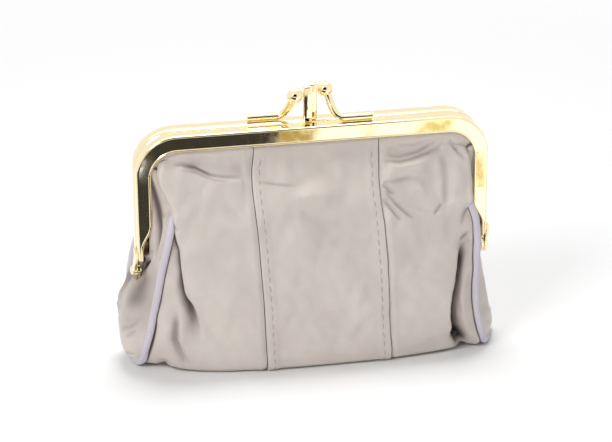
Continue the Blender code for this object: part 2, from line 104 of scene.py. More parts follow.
class NodeSet:
    """The nodes of one material or of the world. All but add, surface and end return an output."""

    def __init__(self, tree: NodeTree):
        """Keeps the tree and empties it."""
        self.tree = tree
        tree.nodes.clear()

    def add(self, kind: str, inputs: dict | None = None, **settings) -> Node:
        """Adds one node.

        Args:
            kind: the node's Blender type without ShaderNode before it.
            inputs: what each input gets: a number, a colour or another node's output.
            settings: the node's own properties.

        Returns:
            The new node.
        """
        node = self.tree.nodes.new(f"ShaderNode{kind}")
        for key, value in settings.items():
            setattr(node, key, value)
        for key, given in (inputs or {}).items():
            if isinstance(given, NodeSocket):
                self.tree.links.new(given, node.inputs[key])
            else:
                node.inputs[key].default_value = given
        return node

    def place(self) -> NodeSocket:
        """Where a point lies on its object."""
        return self.add("TexCoord").outputs["Object"]

    def noise(self, place: NodeSocket, size: float, detail: float) -> NodeSocket:
        """Cloudy noise from 0 to 1.

        Args:
            place: the coordinates.
            size: how wide its patches are, in mm.
            detail: how many finer layers lie on it.

        Returns:
            The output.
        """
        inputs = {"Scale": per_mm(size), "Detail": detail, "Vector": place}
        return self.add("TexNoise", inputs).outputs["Fac"]

    def bands(self, place: NodeSocket, size: float, wander: float, way: str = "X") -> NodeSocket:
        """Bands from 0 to 1, side by side.

        Args:
            place: the coordinates.
            size: how far apart they are, in mm.
            wander: how much they wander.
            way: the axis that they follow each other along.

        Returns:
            The output.
        """
        inputs = {"Scale": per_mm(size) * math.tau / 20, "Distortion": wander, "Vector": place}
        return self.add("TexWave", inputs, wave_type="BANDS", bands_direction=way).outputs["Fac"]

    def maths(self, operation: str, *terms: NodeSocket | float, clamp: bool = False) -> NodeSocket:
        """One sum.

        Args:
            operation: Blender's name for it.
            terms: its two or three terms.
            clamp: whether the outcome is held between 0 and 1.

        Returns:
            The output.
        """
        inputs = dict(enumerate(terms))
        return self.add("Math", inputs, operation=operation, use_clamp=clamp).outputs["Value"]

    def spread(self, value: NodeSocket, span: tuple, onto: tuple = (0.0, 1.0)) -> NodeSocket:
        """Maps the values of one span onto another, and holds them in it.

        Args:
            value: the values.
            span: where they start and end.
            onto: where they start and end after it.

        Returns:
            The output.
        """
        ends = dict(zip(("From Min", "From Max", "To Min", "To Max"), (*span, *onto)))
        return self.add("MapRange", {"Value": value, **ends}).outputs["Result"]

    def mix(self, share: NodeSocket, first: NodeSocket | tuple, second: NodeSocket | tuple) -> NodeSocket:
        """A colour between two.

        Args:
            share: the second colour's share.
            first: the first colour.
            second: the second colour.

        Returns:
            The output.
        """
        inputs = {"Factor": share, "A": first, "B": second}
        return self.add("Mix", inputs, data_type="RGBA").outputs["Result"]

    def bump(self, height: NodeSocket, tall: float, under: NodeSocket | None = None) -> NodeSocket:
        """A relief that only light sees.

        Args:
            height: its shape, from 0 to 1.
            tall: its height in mm.
            under: the relief that it lies on.

        Returns:
            The output.
        """
        inputs = {"Height": height, "Distance": tall * MM, "Strength": 1.0}
        if under is not None:
            inputs["Normal"] = under
        return self.add("Bump", inputs).outputs["Normal"]

    def surface(
        self, colour: NodeSocket | tuple, rough: NodeSocket | float, relief: NodeSocket, **more: float
    ) -> None:
        """The material's one surface.

        Args:
            colour: its colour.
            rough: its roughness.
            relief: its relief.
            more: other inputs, with _ in place of a space in their names.
        """
        inputs = {"Base Color": colour, "Roughness": rough, "Normal": relief}
        inputs |= {name.replace("_", " "): value for name, value in more.items()}
        self.end(self.add("BsdfPrincipled", inputs).outputs["BSDF"])

    def end(self, shader: NodeSocket, kind: str = "OutputMaterial") -> None:
        """Joins a shader to the material's or the world's output."""
        self.add(kind, {"Surface": shader})


def fresh_material(name: str) -> tuple[Material, NodeSet]:
    """A new material and its empty set of nodes."""
    made = bpy.data.materials.new(name)
    made.use_nodes = True
    return made, NodeSet(made.node_tree)


# Finishes


@dataclass(frozen=True)
class GoldPlate:
    """Steel, pressed, polished and gold plated: a bright yellow mirror with a slightly wavy sheet."""

    name: str = "polished_gold_plate"
    colour: str = "#FAE9BD"
    roughness: float = 0.06
    # shares of the roughness where the plate is bright and where it is scuffed
    bright: float = 0.7
    scuffed: float = 1.9
    scuff_mm: float = 2.5
    wave_mm: float = 9.0
    wave_height_mm: float = 0.01

    def build(self) -> Material:
        """The material."""
        made, nodes = fresh_material(self.name)
        place = nodes.place()
        scuff = nodes.noise(place, self.scuff_mm, 5.0)
        ends = (self.roughness * self.bright, self.roughness * self.scuffed)
        rough = nodes.spread(scuff, (0.35, 0.75), ends)
        wave = nodes.bump(nodes.noise(place, self.wave_mm, 1.0), self.wave_height_mm)
        nodes.surface(linear(self.colour), rough, wave, Metallic=1.0)
        return made


@dataclass(frozen=True)
class LambNappa:
    """Thin drum dyed lambskin: soft and semi-matt, with fine pores and a dry crinkle in its creases."""

    name: str = "lamb_nappa_leather"
    colour: str = "#DCD2CA"
    # one colour for both the random mottle and the painted shade of creases, one for painted shadow deep in
    # folds
    deep_colour: str = "#A3958F"
    dark_colour: str = "#2C2523"
    roughness: float = 0.47
    # The real pores are about 0.25 mm apart, too fine for the picture, so they are drawn at 0.7 mm.
    grain_mm: float = 0.7
    grain_height_mm: float = 0.035
    mottle_mm: float = 14.0
    mottle_share: float = 0.22
    crinkle_mm: float = 4.0
    crinkle_height_mm: float = 0.24
    everywhere: float = 0.24

    def build(self) -> Material:
        """The material. Its crumple and painted shade attribute is 0 on smooth skin, 1 if crumpled, 2 deep
        in a fold.
        """
        made, nodes = fresh_material(self.name)
        place = nodes.place()
        crease = nodes.add("Attribute", attribute_name="crease").outputs["Fac"]
        # cloudy patches of tone, painted shade in the creases, and nearly black painted shadow
        # in folds so deep that hardly any light leaves them
        mottle = nodes.noise(place, self.mottle_mm, 3.0)
        tone = nodes.spread(mottle, (0.3, 0.7), (0.0, self.mottle_share))
        deep = nodes.maths("MULTIPLY_ADD", crease, 0.6, tone, clamp=True)
        pale = nodes.mix(deep, linear(self.colour), linear(self.deep_colour))
        fold_shadow = nodes.spread(crease, (0.75, 1.7), (0.0, 0.95))
        colour = nodes.mix(fold_shadow, pale, linear(self.dark_colour))
        rough = nodes.spread(mottle, (0.3, 0.7), (self.roughness - 0.06, self.roughness + 0.07))
        # pores, and a crinkle that is strongest where the skin is crumpled
        grain = {"Scale": per_mm(self.grain_mm), "Randomness": 1.0, "Vector": place}
        grain = nodes.add("TexVoronoi", grain, feature="SMOOTH_F1").outputs["Distance"]
        dust = nodes.noise(place, self.grain_mm / 2, 3.0)
        pores = nodes.bump(nodes.maths("MULTIPLY_ADD", dust, 0.6, grain), self.grain_height_mm)
        crinkle = {"Detail": 4.0, "Roughness": 0.55, "Distortion": 0.6, "Vector": place}
        crinkle["Scale"] = per_mm(self.crinkle_mm)
        crinkle = nodes.add("TexNoise", crinkle, noise_type="RIDGED_MULTIFRACTAL").outputs["Fac"]
        wrinkled = nodes.maths("ADD", crease, self.everywhere, clamp=True)
        folds = nodes.bump(nodes.maths("MULTIPLY", crinkle, wrinkled), self.crinkle_height_mm, pores)
        nodes.surface(colour, rough, folds, Sheen_Weight=0.08, Sheen_Roughness=0.5, IOR=1.45)
        return made


@dataclass(frozen=True)
class WovenCloth:
    """Plain woven cotton and polyester lining: matt, with threads crossing at a right angle."""

    name: str = "woven_lining_cloth"
    colour: str = "#A59A93"
    shade: str = "#857A74"
    # Threads are 0.25 mm apart in such cloth and are drawn at 0.8 mm, so that they show.
    thread_mm: float = 0.8
    thread_height_mm: float = 0.08

    def build(self) -> Material:
        """The material."""
        made, nodes = fresh_material(self.name)
        place = nodes.place()
        threads = [nodes.bands(place, self.thread_mm, 0.4, way) for way in ("X", "Z")]
        weave = nodes.maths("MULTIPLY", *threads)
        colour = nodes.mix(weave, linear(self.shade), linear(self.colour))
        nodes.surface(colour, 0.85, nodes.bump(weave, self.thread_height_mm), Sheen_Weight=0.15)
        return made


@dataclass(frozen=True)
class TwistedFibre:
    """Fibres laid side by side and twisted, as in sewing thread and paper cord: matt and slanting."""

    name: str
    colour: str
    shade: str
    strand_mm: float
    strand_height_mm: float = 0.06
    slant: tuple = (0.6, 0.5, 0.7)

    def build(self) -> Material:
        """The material."""
        made, nodes = fresh_material(self.name)
        turned = nodes.add("Mapping", {"Rotation": self.slant, "Vector": nodes.place()})
        strands = nodes.bands(turned.outputs["Vector"], self.strand_mm, 1.0)
        colour = nodes.mix(strands, linear(self.shade), linear(self.colour))
        nodes.surface(colour, 0.8, nodes.bump(strands, self.strand_height_mm))
        return made


# Surface helpers


def ease(low: float, high: float, value: np.ndarray) -> np.ndarray:
    """A smooth step from 0 at low to 1 at high.

    Args:
        low: where it starts.
        high: where it ends, which may lie under low.
        value: the values.

    Returns:
        An array like the values.
    """
    t = np.clip((value - low) / (high - low), 0, 1)
    return t * t * (3 - 2 * t)


def lengths_along(line: np.ndarray) -> np.ndarray:
    """How far along a line each of its points lies."""
    steps = np.linalg.norm(np.diff(line, axis=0), axis=1)
    return np.concatenate([[0], np.cumsum(steps)])


def points_at(wanted: np.ndarray | float, along: np.ndarray, line: np.ndarray) -> np.ndarray:
    """The places at some distances along a line.

    Args:
        wanted: the distances, or just one.
        along: how far along it the line's own points lie.
        line: the line's points, one row each.

    Returns:
        One row for each distance, or one place.
    """
    return np.stack([np.interp(wanted, along, line[:, k]) for k in range(line.shape[1])], axis=-1)


def resample(line: np.ndarray, count: int) -> np.ndarray:
    """The same line as count equal steps.

    Args:
        line: points along it, one row each.
        count: how many steps.

    Returns:
        count + 1 points.
    """
    along = lengths_along(line)
    return points_at(np.linspace(0, along[-1], count + 1), along, line)


def spline(points: list | tuple, count: int, dense: int = 24) -> np.ndarray:
    """A smooth curve through the points, as count equal steps.

    Args:
        points: the places that it passes.
        count: how many steps.
        dense: steps between two points before they are evened out.

    Returns:
        count + 1 points.
    """
    spots = np.array(points, float)
    steps = np.diff(spots, axis=0)
    lengths = np.linalg.norm(steps, axis=1)
    units = steps / lengths[:, None]
    slopes = [units[0]]
    for k in range(len(units) - 1):
        mixed = units[k] * lengths[k + 1] + units[k + 1] * lengths[k]
        slopes.append(mixed / (lengths[k] + lengths[k + 1]))
    slopes.append(units[-1])
    t = np.linspace(0, 1, dense, endpoint=False)[:, None]
    pieces = []
    for k, length in enumerate(lengths):
        pieces.append(
            spots[k] * (2 * t**3 - 3 * t**2 + 1)
            + spots[k + 1] * (3 * t**2 - 2 * t**3)
            + slopes[k] * length * (t**3 - 2 * t**2 + t)
            + slopes[k + 1] * length * (t**3 - t**2)
        )
    return resample(np.concatenate([*pieces, spots[-1:]]), count)


def normals_of(grid: np.ndarray, outward: tuple) -> np.ndarray:
    """Unit normals of a grid of points.

    Args:
        grid: rows by columns by 3.
        outward: a direction that the normals face on the whole.

    Returns:
        An array like the grid.
    """
    down = np.gradient(grid, axis=0)
    across = np.gradient(grid, axis=1)
    found = np.cross(across, down)
    found /= np.maximum(np.linalg.norm(found, axis=2, keepdims=True), 1e-9)
    if (found.sum(axis=(0, 1)) * np.array(outward)).sum() < 0:
        found = -found
    return found


@dataclass(frozen=True)
class Fold:
    """A ridge, or a valley where its height is negative, drawn as a line on the surface.

    The path is in mm, across and up. Its left is the lower side of a path that runs to the right.
    """

    path: tuple
    height: float
    left: float
    right: float
    grow: float = 6.0
    fade: float = 6.0
    lean: float = 0.0
    # painted shade that it adds to the colour, besides its crumple
    shade: float = 0.0

    # the same for every fold: the reach in mm under which it is fully creased, how crumpled a valley and a
    # ridge are then, which also sets their painted shade, and the share of the path at each end where it
    # stops getting lower
    full_crease = 0.42
    valley_crease = 0.8
    ridge_crease = 0.15
    tip = 0.03

    def crumpled(self, relief: np.ndarray) -> np.ndarray:
        """How crumpled and how darkened by painted shade the skin is at each point: most in narrow valleys.

        Args:
            relief: the fold's relief there, in mm.

        Returns:
            An array of the same shape.
        """
        narrow = min(1.0, self.full_crease / min(self.left, self.right))
        share = np.abs(relief / self.height)
        most = self.valley_crease if self.height < 0 else self.ridge_crease
        return share * narrow * most + np.sqrt(share) * self.shade

    def drift(self, relief: np.ndarray) -> np.ndarray:
        """How far each point leans over towards the fold's left.

        Args:
            relief: the fold's relief there, in mm.

        Returns:
            An array with a last axis for across and up, in mm.
        """
        way = np.array(self.path[-1], float) - np.array(self.path[0], float)
        way /= np.linalg.norm(way)
        return (relief / self.height * self.lean)[..., None] * np.array([way[1], -way[0]])

    def relief(self, across: np.ndarray, up: np.ndarray) -> np.ndarray:
        """How far the surface is moved outwards at these places, in mm.

        Args:
            across: the places' first coordinate.
            up: their second coordinate.

        Returns:
            An array of the same shape.
        """
        spots = np.array(self.path, float)
        steps = np.diff(spots, axis=0)
        lengths = np.linalg.norm(steps, axis=1)
        starts = np.concatenate([[0], np.cumsum(lengths)])
        nearest = np.full(across.shape, 1e9)
        signed = np.zeros(across.shape)
        along = np.zeros(across.shape)
        for k, step in enumerate(steps):
            px, pz = across - spots[k, 0], up - spots[k, 1]
            t = np.clip((px * step[0] + pz * step[1]) / lengths[k] ** 2, 0, 1)
            dx, dz = px - step[0] * t, pz - step[1] * t
            gap = np.hypot(dx, dz)
            closer = gap < nearest
            nearest = np.where(closer, gap, nearest)
            way = np.sign(step[0] * dz - step[1] * dx)
            signed = np.where(closer, gap * way, signed)
            along = np.where(closer, starts[k] + t * lengths[k], along)
        width = np.where(signed < 0, self.left, self.right)
        part = np.clip(along / starts[-1], self.tip, 1 - self.tip)
        shape = np.exp(-((signed / width) ** 2)) * np.sqrt(np.sin(np.pi * part))
        return self.height * shape * ease(0, self.grow, along) * ease(0, self.fade, starts[-1] - along)


def all_folds(folds: tuple, across: np.ndarray, up: np.ndarray) -> tuple[np.ndarray, np.ndarray, np.ndarray]:
    """What some folds do together.

    Args:
        folds: the folds.
        across: the places' first coordinate.
        up: their second coordinate.

    Returns:
        How high the skin stands there in mm, how crumpled and painted with shade it is, and how far it leans
        over.
    """
    height = np.zeros(across.shape)
    crease = np.zeros(across.shape)
    lean = np.zeros((*across.shape, 3))
    for fold in folds:
        found = fold.relief(across, up)
        height += found
        crease += fold.crumpled(found)
        if fold.lean:
            lean[..., (0, 2)] += fold.drift(found)
    return height, crease, lean


# Lengths of the slack leather's waves in mm, the longest first
WAVES = (26.0, 21.0, 17.0, 14.0, 11.5, 9.5, 8.0, 6.5, 5.2)


def slack_waves(across: np.ndarray, up: np.ndarray) -> np.ndarray:
    """The low, uneven waves of slack leather.

    Args:
        across: the places' first coordinate in mm.
        up: their second coordinate in mm.

    Returns:
        Heights in mm.
    """
    dice = np.random.default_rng(11)
    height = np.zeros(across.shape)
    for length in WAVES:
        for _ in range(2):
            turn, phase = dice.uniform(0, math.tau, 2)
            along = across * math.cos(turn) + up * math.sin(turn)
            bend = np.sin((across * math.sin(turn) - up * math.cos(turn)) / (length * 0.9) + phase * 2)
            height += length / WAVES[0] * np.sin(along * math.tau / length + phase + 1.3 * bend)
    return height * SIZES.slack * ease(1.0, 14.0, up)


def deselect() -> None:
    """Leaves nothing selected, because an operator acts on all that is."""
    for obj in bpy.context.selected_objects:
        obj.select_set(False)


def make_active(obj: Object) -> None:
    """Selects one object alone."""
    deselect()
    obj.select_set(True)
    bpy.context.view_layer.objects.active = obj


def apply_modifiers(obj: Object) -> None:
    """Applies an object's modifiers from the top."""
    make_active(obj)
    for step in list(obj.modifiers):
        bpy.ops.object.modifier_apply(modifier=step.name)


def settle(obj: Object, sharp: float = 50.0) -> None:
    """Moves an object's place into its mesh, and smooths its shading.

    Args:
        obj: the object.
        sharp: edges beyond this angle in degrees stay sharp.
    """
    make_active(obj)
    bpy.ops.object.transform_apply(location=True, rotation=True, scale=True)
    bpy.ops.object.shade_smooth_by_angle(angle=math.radians(sharp))


def just_made(name: str) -> Object:
    """The object that an operator has just made, under its name."""
    obj = bpy.context.object
    obj.name = obj.data.name = name
    return obj


def laid_grid(name: str, grid: np.ndarray) -> Object:
    """A grid primitive laid over some points.

    Args:
        name: the piece's name.
        grid: rows by columns by 3, in mm.

    Returns:
        The new object.
    """
    rows, columns = grid.shape[:2]
    deselect()
    bpy.ops.mesh.primitive_grid_add(x_subdivisions=columns - 1, y_subdivisions=rows - 1, size=1)
    obj = just_made(name)
    obj.data.vertices.foreach_set("co", (grid * MM).astype(np.float32).ravel())
    obj.data.update()
    return obj


def close_up(merge: float, fill: bool = False) -> None:
    """Joins the active mesh's points that touch, and faces it outwards.

    Args:
        merge: points this close in mm become one.
        fill: whether its open ends are closed.
    """
    bpy.ops.object.mode_set(mode="EDIT")
    bpy.ops.mesh.select_all(action="SELECT")
    bpy.ops.mesh.remove_doubles(threshold=merge * MM)
    if fill:
        bpy.ops.mesh.fill_holes(sides=0)
        bpy.ops.mesh.select_all(action="SELECT")
    bpy.ops.mesh.normals_make_consistent(inside=False)
    bpy.ops.object.mode_set(mode="OBJECT")


def laid_sheet(
    name: str, grid: np.ndarray, wall: float, outward: tuple, crease: np.ndarray | None = None
) -> Object:
    """A sheet of leather or cloth: a grid primitive laid over the points, with a wall under it.

    Args:
        name: the piece's name.
        grid: rows by columns by 3, in mm.
        wall: thickness in mm, grown inwards.
        outward: a direction that its outer side faces on the whole.
        crease: how crumpled and painted with shade each point is, from 0 to 1, and to 2 deep in a fold.

    Returns:
        The new object.
    """
    obj = laid_grid(name, grid)
    mark = obj.data.attributes.new("crease", "FLOAT", "POINT")
    if crease is not None:
        mark.data.foreach_set("value", np.clip(crease, 0, 2).astype(np.float32).ravel())
    facing = np.zeros(len(obj.data.polygons) * 3, np.float32)
    obj.data.polygons.foreach_get("normal", facing)
    if (facing.reshape(-1, 3).sum(0) * np.array(outward)).sum() < 0:
        bpy.ops.object.mode_set(mode="EDIT")
        bpy.ops.mesh.select_all(action="SELECT")
        bpy.ops.mesh.flip_normals()
        bpy.ops.object.mode_set(mode="OBJECT")
    step = obj.modifiers.new("Wall", "SOLIDIFY")
    step.thickness = wall * MM
    step.offset = -1
    apply_modifiers(obj)
    settle(obj)
    return obj


def swept_tube(
    name: str, line: np.ndarray, radius: float, sides: int, squeeze: np.ndarray | None = None
) -> Object:
    """A round cord along a line, with closed ends.

    Args:
        name: the piece's name.
        line: its middle, in mm.
        radius: its radius in mm.
        sides: faces round it, divisible by 4.
        squeeze: each point's share of the radius.

    Returns:
        The new mesh object.
    """
    deselect()
    bpy.ops.curve.primitive_nurbs_path_add()
    obj = just_made(name)
    curve = obj.data
    curve.splines.clear()
    run = curve.splines.new("POLY")
    run.points.add(len(line) - 1)
    for spot, point in zip(run.points, line * MM):
        spot.co = (*point, 1)
    if squeeze is not None:
        run.points.foreach_set("radius", squeeze)
    curve.bevel_depth = radius * MM
    curve.bevel_resolution = sides // 4 - 1
    curve.use_fill_caps = True
    make_active(obj)
    bpy.ops.object.convert(target="MESH")
    obj = just_made(name)
    close_up(0.001)
    settle(obj)
    return obj


def dress(obj: Object, finish: Material) -> None:
    """Gives a piece its one material.

    Args:
        obj: the piece.
        finish: its material.
    """
    obj.data.materials.clear()
    obj.data.materials.append(finish)


# The metalwork


@dataclass(frozen=True)
class FrameSizes:
    """Sizes of the pressed channel frame, in mm."""

    width: float = 130.0
    depth: float = 13.0
    top: float = 89.0
    corner: float = 15.0
    hinge: float = 36.0
    leg_end: float = 42.0
    parting: float = 0.3
    sheet: float = 0.7
    band_top: float = 6.0
    band_leg: float = 5.3
    band_end: float = 1.9
    taper_low: float = 46.5
    taper_high: float = 55.5
    inner_wall: float = 4.6
    lip: float = 0.32
    lip_height: float = 0.95
    front_round: float = 0.8
    parting_round: float = 2.0
    ear_radius: float = 3.4
    ear_sheet: float = 0.8
    ear_overlap: float = 3.0
    ear_gap: float = 0.05
    ear_from: float = 20.0
    ear_to: float = -200.0
    ear_drop: float = 0.3
    joggle_short: float = 0.35
    hole: float = 0.98
    drill: float = 6.0
    # points this close to an edge keep the face beside it flat
    hold: float = 0.12
    hold_round: float = 0.15
    hold_taper: float = 0.6
    # points along the taper, the corner, the small and the large curves of the section, and the ear
    taper_points: int = 14
    corner_points: int = 30
    small_points: int = 7
    large_points: int = 11
    ear_points: int = 33
    # edges beyond this angle in degrees stay sharp
    sharp: float = 38.0


class FrameHalf:
    """One half of the frame: a channel bent round a former, with its ears."""

    def __init__(self, half: Half, sizes: FrameSizes):
        """Keeps the half and its sizes."""
        self.half = half
        self.sizes = sizes

    def stations(self) -> list[tuple[float, float, float, float]]:
        """Places along the outer edge from ear to ear: across, up and the inward direction."""
        z = self.sizes
        leg = [z.leg_end, z.taper_low - z.hold_taper]
        leg += list(np.linspace(z.taper_low, z.taper_high, z.taper_points))
        left = [(-z.width / 2, up, 1.0, 0.0) for up in leg]
        for turn in np.linspace(math.pi, math.pi / 2, z.corner_points):
            out = (math.cos(turn), math.sin(turn))
            across = -z.width / 2 + z.corner * (1 + out[0])
            left.append((across, z.top - z.corner * (1 - out[1]), -out[0], -out[1]))
        return left + [(-x, up, -ix, iz) for x, up, ix, iz in reversed(left)]

    def band(self, up: float, inward_up: float) -> float:
        """Height of the front face at one place.

        Args:
            up: the place's height.
            inward_up: how much the inward direction points up or down there, from -1 to 1.

        Returns:
            A height in mm.
        """
        z = self.sizes
        full = z.band_leg + (z.band_top - z.band_leg) * abs(inward_up)
        return z.band_end + (full - z.band_end) * float(ease(z.taper_low, z.taper_high, np.array(up)))

    def section(self, band: float) -> list[tuple[float, float]]:
        """The channel's section for the front half.

        Args:
            band: height of its front face.

        Returns:
            Points as depth, and inset from the outer edge.
        """
        z = self.sizes
        front, parting = -z.depth / 2, -z.parting / 2
        inner = front + z.sheet
        points = []
        for t in np.linspace(0, 1, z.small_points):
            points.append((front - z.lip * math.sin(math.pi * t), band - z.lip_height * t))
        points += [(front, band - z.lip_height - z.hold), (front, z.front_round + z.hold)]
        for turn in np.linspace(0, math.pi / 2, z.small_points):
            drop = z.front_round * (1 - math.sin(turn))
            points.append((front + z.front_round * (1 - math.cos(turn)), drop))
        points.append((front + z.front_round + z.hold_round, 0.0))
        points.append((parting - z.parting_round - z.hold_round, 0.0))
        for turn in np.linspace(0, math.pi / 2, z.large_points):
            drop = z.parting_round * (1 - math.cos(turn))
            points.append((parting - z.parting_round * (1 - math.sin(turn)), drop))
        points += [(parting, z.parting_round + z.hold_round), (parting, z.inner_wall)]
        points.append((parting - z.sheet, z.inner_wall))
        reach = z.parting_round - z.sheet
        for turn in np.linspace(math.pi / 2, 0, z.small_points):
            depth = parting - z.sheet - reach * (1 - math.sin(turn))
            points.append((depth, z.sheet + reach * (1 - math.cos(turn))))
        return [*points, (inner, z.sheet), (inner, band)]

    def channel(self, name: str) -> Object:
        """The bent channel: a grid of sections, closed along its wall and at its ends."""
        rings = []
        for across, up, in_x, in_z in self.stations():
            ring = [
                (across + in_x * inset, -self.half.value * depth, up + in_z * inset)
                for depth, inset in self.section(self.band(up, in_z))
            ]
            rings.append([*ring, ring[0]])
        obj = laid_grid(name, np.array(rings))
        close_up(0.002, fill=True)
        return obj

    def plate(self, side: Side) -> Object:
        """One ear: a profile of its outline with the sheet's thickness. The front half's lie outside."""
        z, half = self.sizes, self.half.value
        low = z.width / 2 + z.parting if self.half is Half.FRONT else z.width / 2 - z.ear_sheet - z.ear_gap
        edge = z.depth / 2 - z.front_round
        foot = z.leg_end + z.ear_overlap
        outline = [(half * edge, foot), (half * edge, z.leg_end)]
        for turn in np.radians(np.linspace(z.ear_from, z.ear_to, z.ear_points)):
            outline.append((half * z.ear_radius * math.cos(turn), z.hinge + z.ear_radius * math.sin(turn)))
        outline += [(half * z.sheet, z.leg_end - z.ear_drop), (half * z.sheet, foot)]
        deselect()
        bpy.ops.mesh.primitive_circle_add(vertices=len(outline), fill_type="NGON")
        ear = bpy.context.object
        ear.data.vertices.foreach_set("co", [c * MM for y, up in outline for c in (side.value * low, y, up)])
        ear.data.update()
        wall = ear.modifiers.new("Sheet", "SOLIDIFY")
        wall.thickness = z.ear_sheet * MM
        wall.offset = 1 if ear.data.polygons[0].normal.x * side.value > 0 else -1
        apply_modifiers(ear)
        return ear

    def joggle(self, side: Side) -> Object:
        """The step that carries a front ear out past the rear one."""
        z, half = self.sizes, self.half.value
        near = z.width / 2 - z.sheet / 2
        far = z.width / 2 + z.parting + z.ear_sheet / 2
        low = np.array([near, half * (z.depth / 2 - z.front_round * 2), z.leg_end + z.sheet])
        high = np.array([far, half * z.sheet * 2, z.leg_end + z.ear_overlap - z.joggle_short])
        deselect()
        middle = Vector((low + high) / 2 * (side.value, 1, 1) * MM)
        size = Vector(np.abs(high - low) * MM)
        bpy.ops.mesh.primitive_cube_add(size=1, location=middle, scale=size)
        bpy.ops.object.transform_apply(location=True, rotation=True, scale=True)
        return bpy.context.object

    def combine(self, obj: Object, tool: Object, operation: str) -> None:
        """Applies one Boolean and removes its tool.

        Args:
            obj: the channel.
            tool: what is added or cut.
            operation: UNION or DIFFERENCE.
        """
        step = obj.modifiers.new("Boolean", "BOOLEAN")
        step.operation = operation
        step.object = tool
        step.solver = "EXACT"
        apply_modifiers(obj)
        bpy.data.objects.remove(tool)

    def build(self, finish: Material) -> None:
        """Makes the half, dressed and riding on its body."""
        word = self.half.word
        z = self.sizes
        obj = self.channel(f"{word}_pressed_frame")
        for side in Side:
            self.combine(obj, self.plate(side), "UNION")
            if self.half is Half.FRONT:
                self.combine(obj, self.joggle(side), "UNION")
            deselect()
            bpy.ops.mesh.primitive_cylinder_add(
                vertices=32,
                radius=z.hole * MM,
                depth=z.drill * MM,
                location=(side.value * z.width / 2 * MM, 0, z.hinge * MM),
                rotation=(0, math.pi / 2, 0),
            )
            self.combine(obj, bpy.context.object, "DIFFERENCE")
        settle(obj, z.sharp)
        finish_rigid(obj, finish, f"{word}_half", f"{word}_frame")


def finish_rigid(obj: Object, finish: Material, body: str, node: str) -> None:
    """Dresses a rigid piece and lets it ride on its body.

    Args:
        obj: the piece.
        finish: its material.
        body: the body that it rides on.
        node: the CAD node that it stands for.
    """
    dress(obj, finish)
    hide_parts(node)
    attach(obj, body)
    LOG.info("%s: %d faces", obj.name, len(obj.data.polygons))


@dataclass(frozen=True)
class LockSizes:
    """Sizes of the kiss lock, in mm. Up is measured from the frame's top."""

    shift: float = -0.3
    ball_radius: float = 2.9
    ball_rise: float = 11.0
    ball_out: float = 6.0
    ball_cross: float = 2.6
    arm_radius: float = 1.4
    arm_out: float = 22.5
    arm_bend: float = 11.8
    arm_back: float = 3.4
    lean_in: float = 4.0
    lean_across: float = 6.0
    post_width: float = 3.4
    post_depth: float = 2.0
    post_height: float = 13.7
    post_out: float = 1.1
    post_back: float = 1.35
    post_edge: float = 0.7
    braze: float = 0.25
    # how deep the rod's end goes into the ball
    neck: float = 0.5
    # edges beyond this angle in degrees stay sharp on a post
    sharp: float = 60.0


class LockHalf:
    """The brazed rod with its ball, and the upright that the other half's ball snaps past."""

    def __init__(self, half: Half, sizes: LockSizes, top: float):
        """Keeps the half, its sizes, and the height of the frame's top."""
        self.half = half
        self.sizes = sizes
        self.top = top

    def ball_place(self) -> np.ndarray:
        """The middle of the ball."""
        z, half = self.sizes, self.half.value
        return np.array([z.shift - half * z.ball_out, -half * z.ball_cross, self.top + z.ball_rise])

    def arm(self, finish: Material) -> None:
        """The bent rod."""
        z, half = self.sizes, self.half.value
        low = self.top + z.arm_radius + z.braze * 0.5
        near = half * z.arm_back
        start = np.array([z.shift - half * z.arm_out, near, low])
        bend = np.array([z.shift - half * z.arm_bend, near, low])
        lean = np.array([half * z.lean_in, -half * z.lean_across, z.ball_rise])
        lean /= np.linalg.norm(lean)
        neck = self.ball_place() - lean * (z.ball_radius - z.neck)
        first = bend + (half * z.ball_rise / 3, 0, 0)
        last = neck - lean * z.ball_rise / 3
        t = np.linspace(0, 1, 40)[:, None]
        curve = bend * (1 - t) ** 3 + first * 3 * t * (1 - t) ** 2
        curve += last * 3 * t**2 * (1 - t) + neck * t**3
        straight = start + (bend - start) * np.linspace(0, 0.96, 6)[:, None]
        word = self.half.word
        obj = swept_tube(f"{word}_bent_rod", np.concatenate([straight, curve]), z.arm_radius, 24)
        finish_rigid(obj, finish, f"{word}_half", f"{word}_lock_arm")

    def ball(self, finish: Material) -> None:
        """The turned ball."""
        deselect()
        place = Vector(self.ball_place() * MM)
        radius = self.sizes.ball_radius * MM
        bpy.ops.mesh.primitive_uv_sphere_add(segments=48, ring_count=32, radius=radius, location=place)
        word = self.half.word
        obj = just_made(f"{word}_turned_ball")
        settle(obj)
        finish_rigid(obj, finish, f"{word}_half", f"{word}_lock_ball")

    def post(self, finish: Material) -> None:
        """The upright, with rolled edges."""
        z, half = self.sizes, self.half.value
        deselect()
        tall = z.post_height + z.braze
        place = Vector((z.shift + half * z.post_out, half * z.post_back, self.top + tall / 2)) * MM
        size = Vector((z.post_width, z.post_depth, tall)) * MM
        bpy.ops.mesh.primitive_cube_add(size=1, location=place, scale=size)
        word = self.half.word
        obj = just_made(f"{word}_snap_post")
        bpy.ops.object.transform_apply(location=True, rotation=True, scale=True)
        edge = obj.modifiers.new("Rolled edges", "BEVEL")
        edge.width = z.post_edge * MM
        edge.segments = 4
        apply_modifiers(obj)
        settle(obj, z.sharp)
        finish_rigid(obj, finish, f"{word}_half", f"{word}_lock_post")

    def build(self, finish: Material) -> None:
        """Makes the three pieces."""
        self.arm(finish)
        self.ball(finish)
        self.post(finish)


# The bag


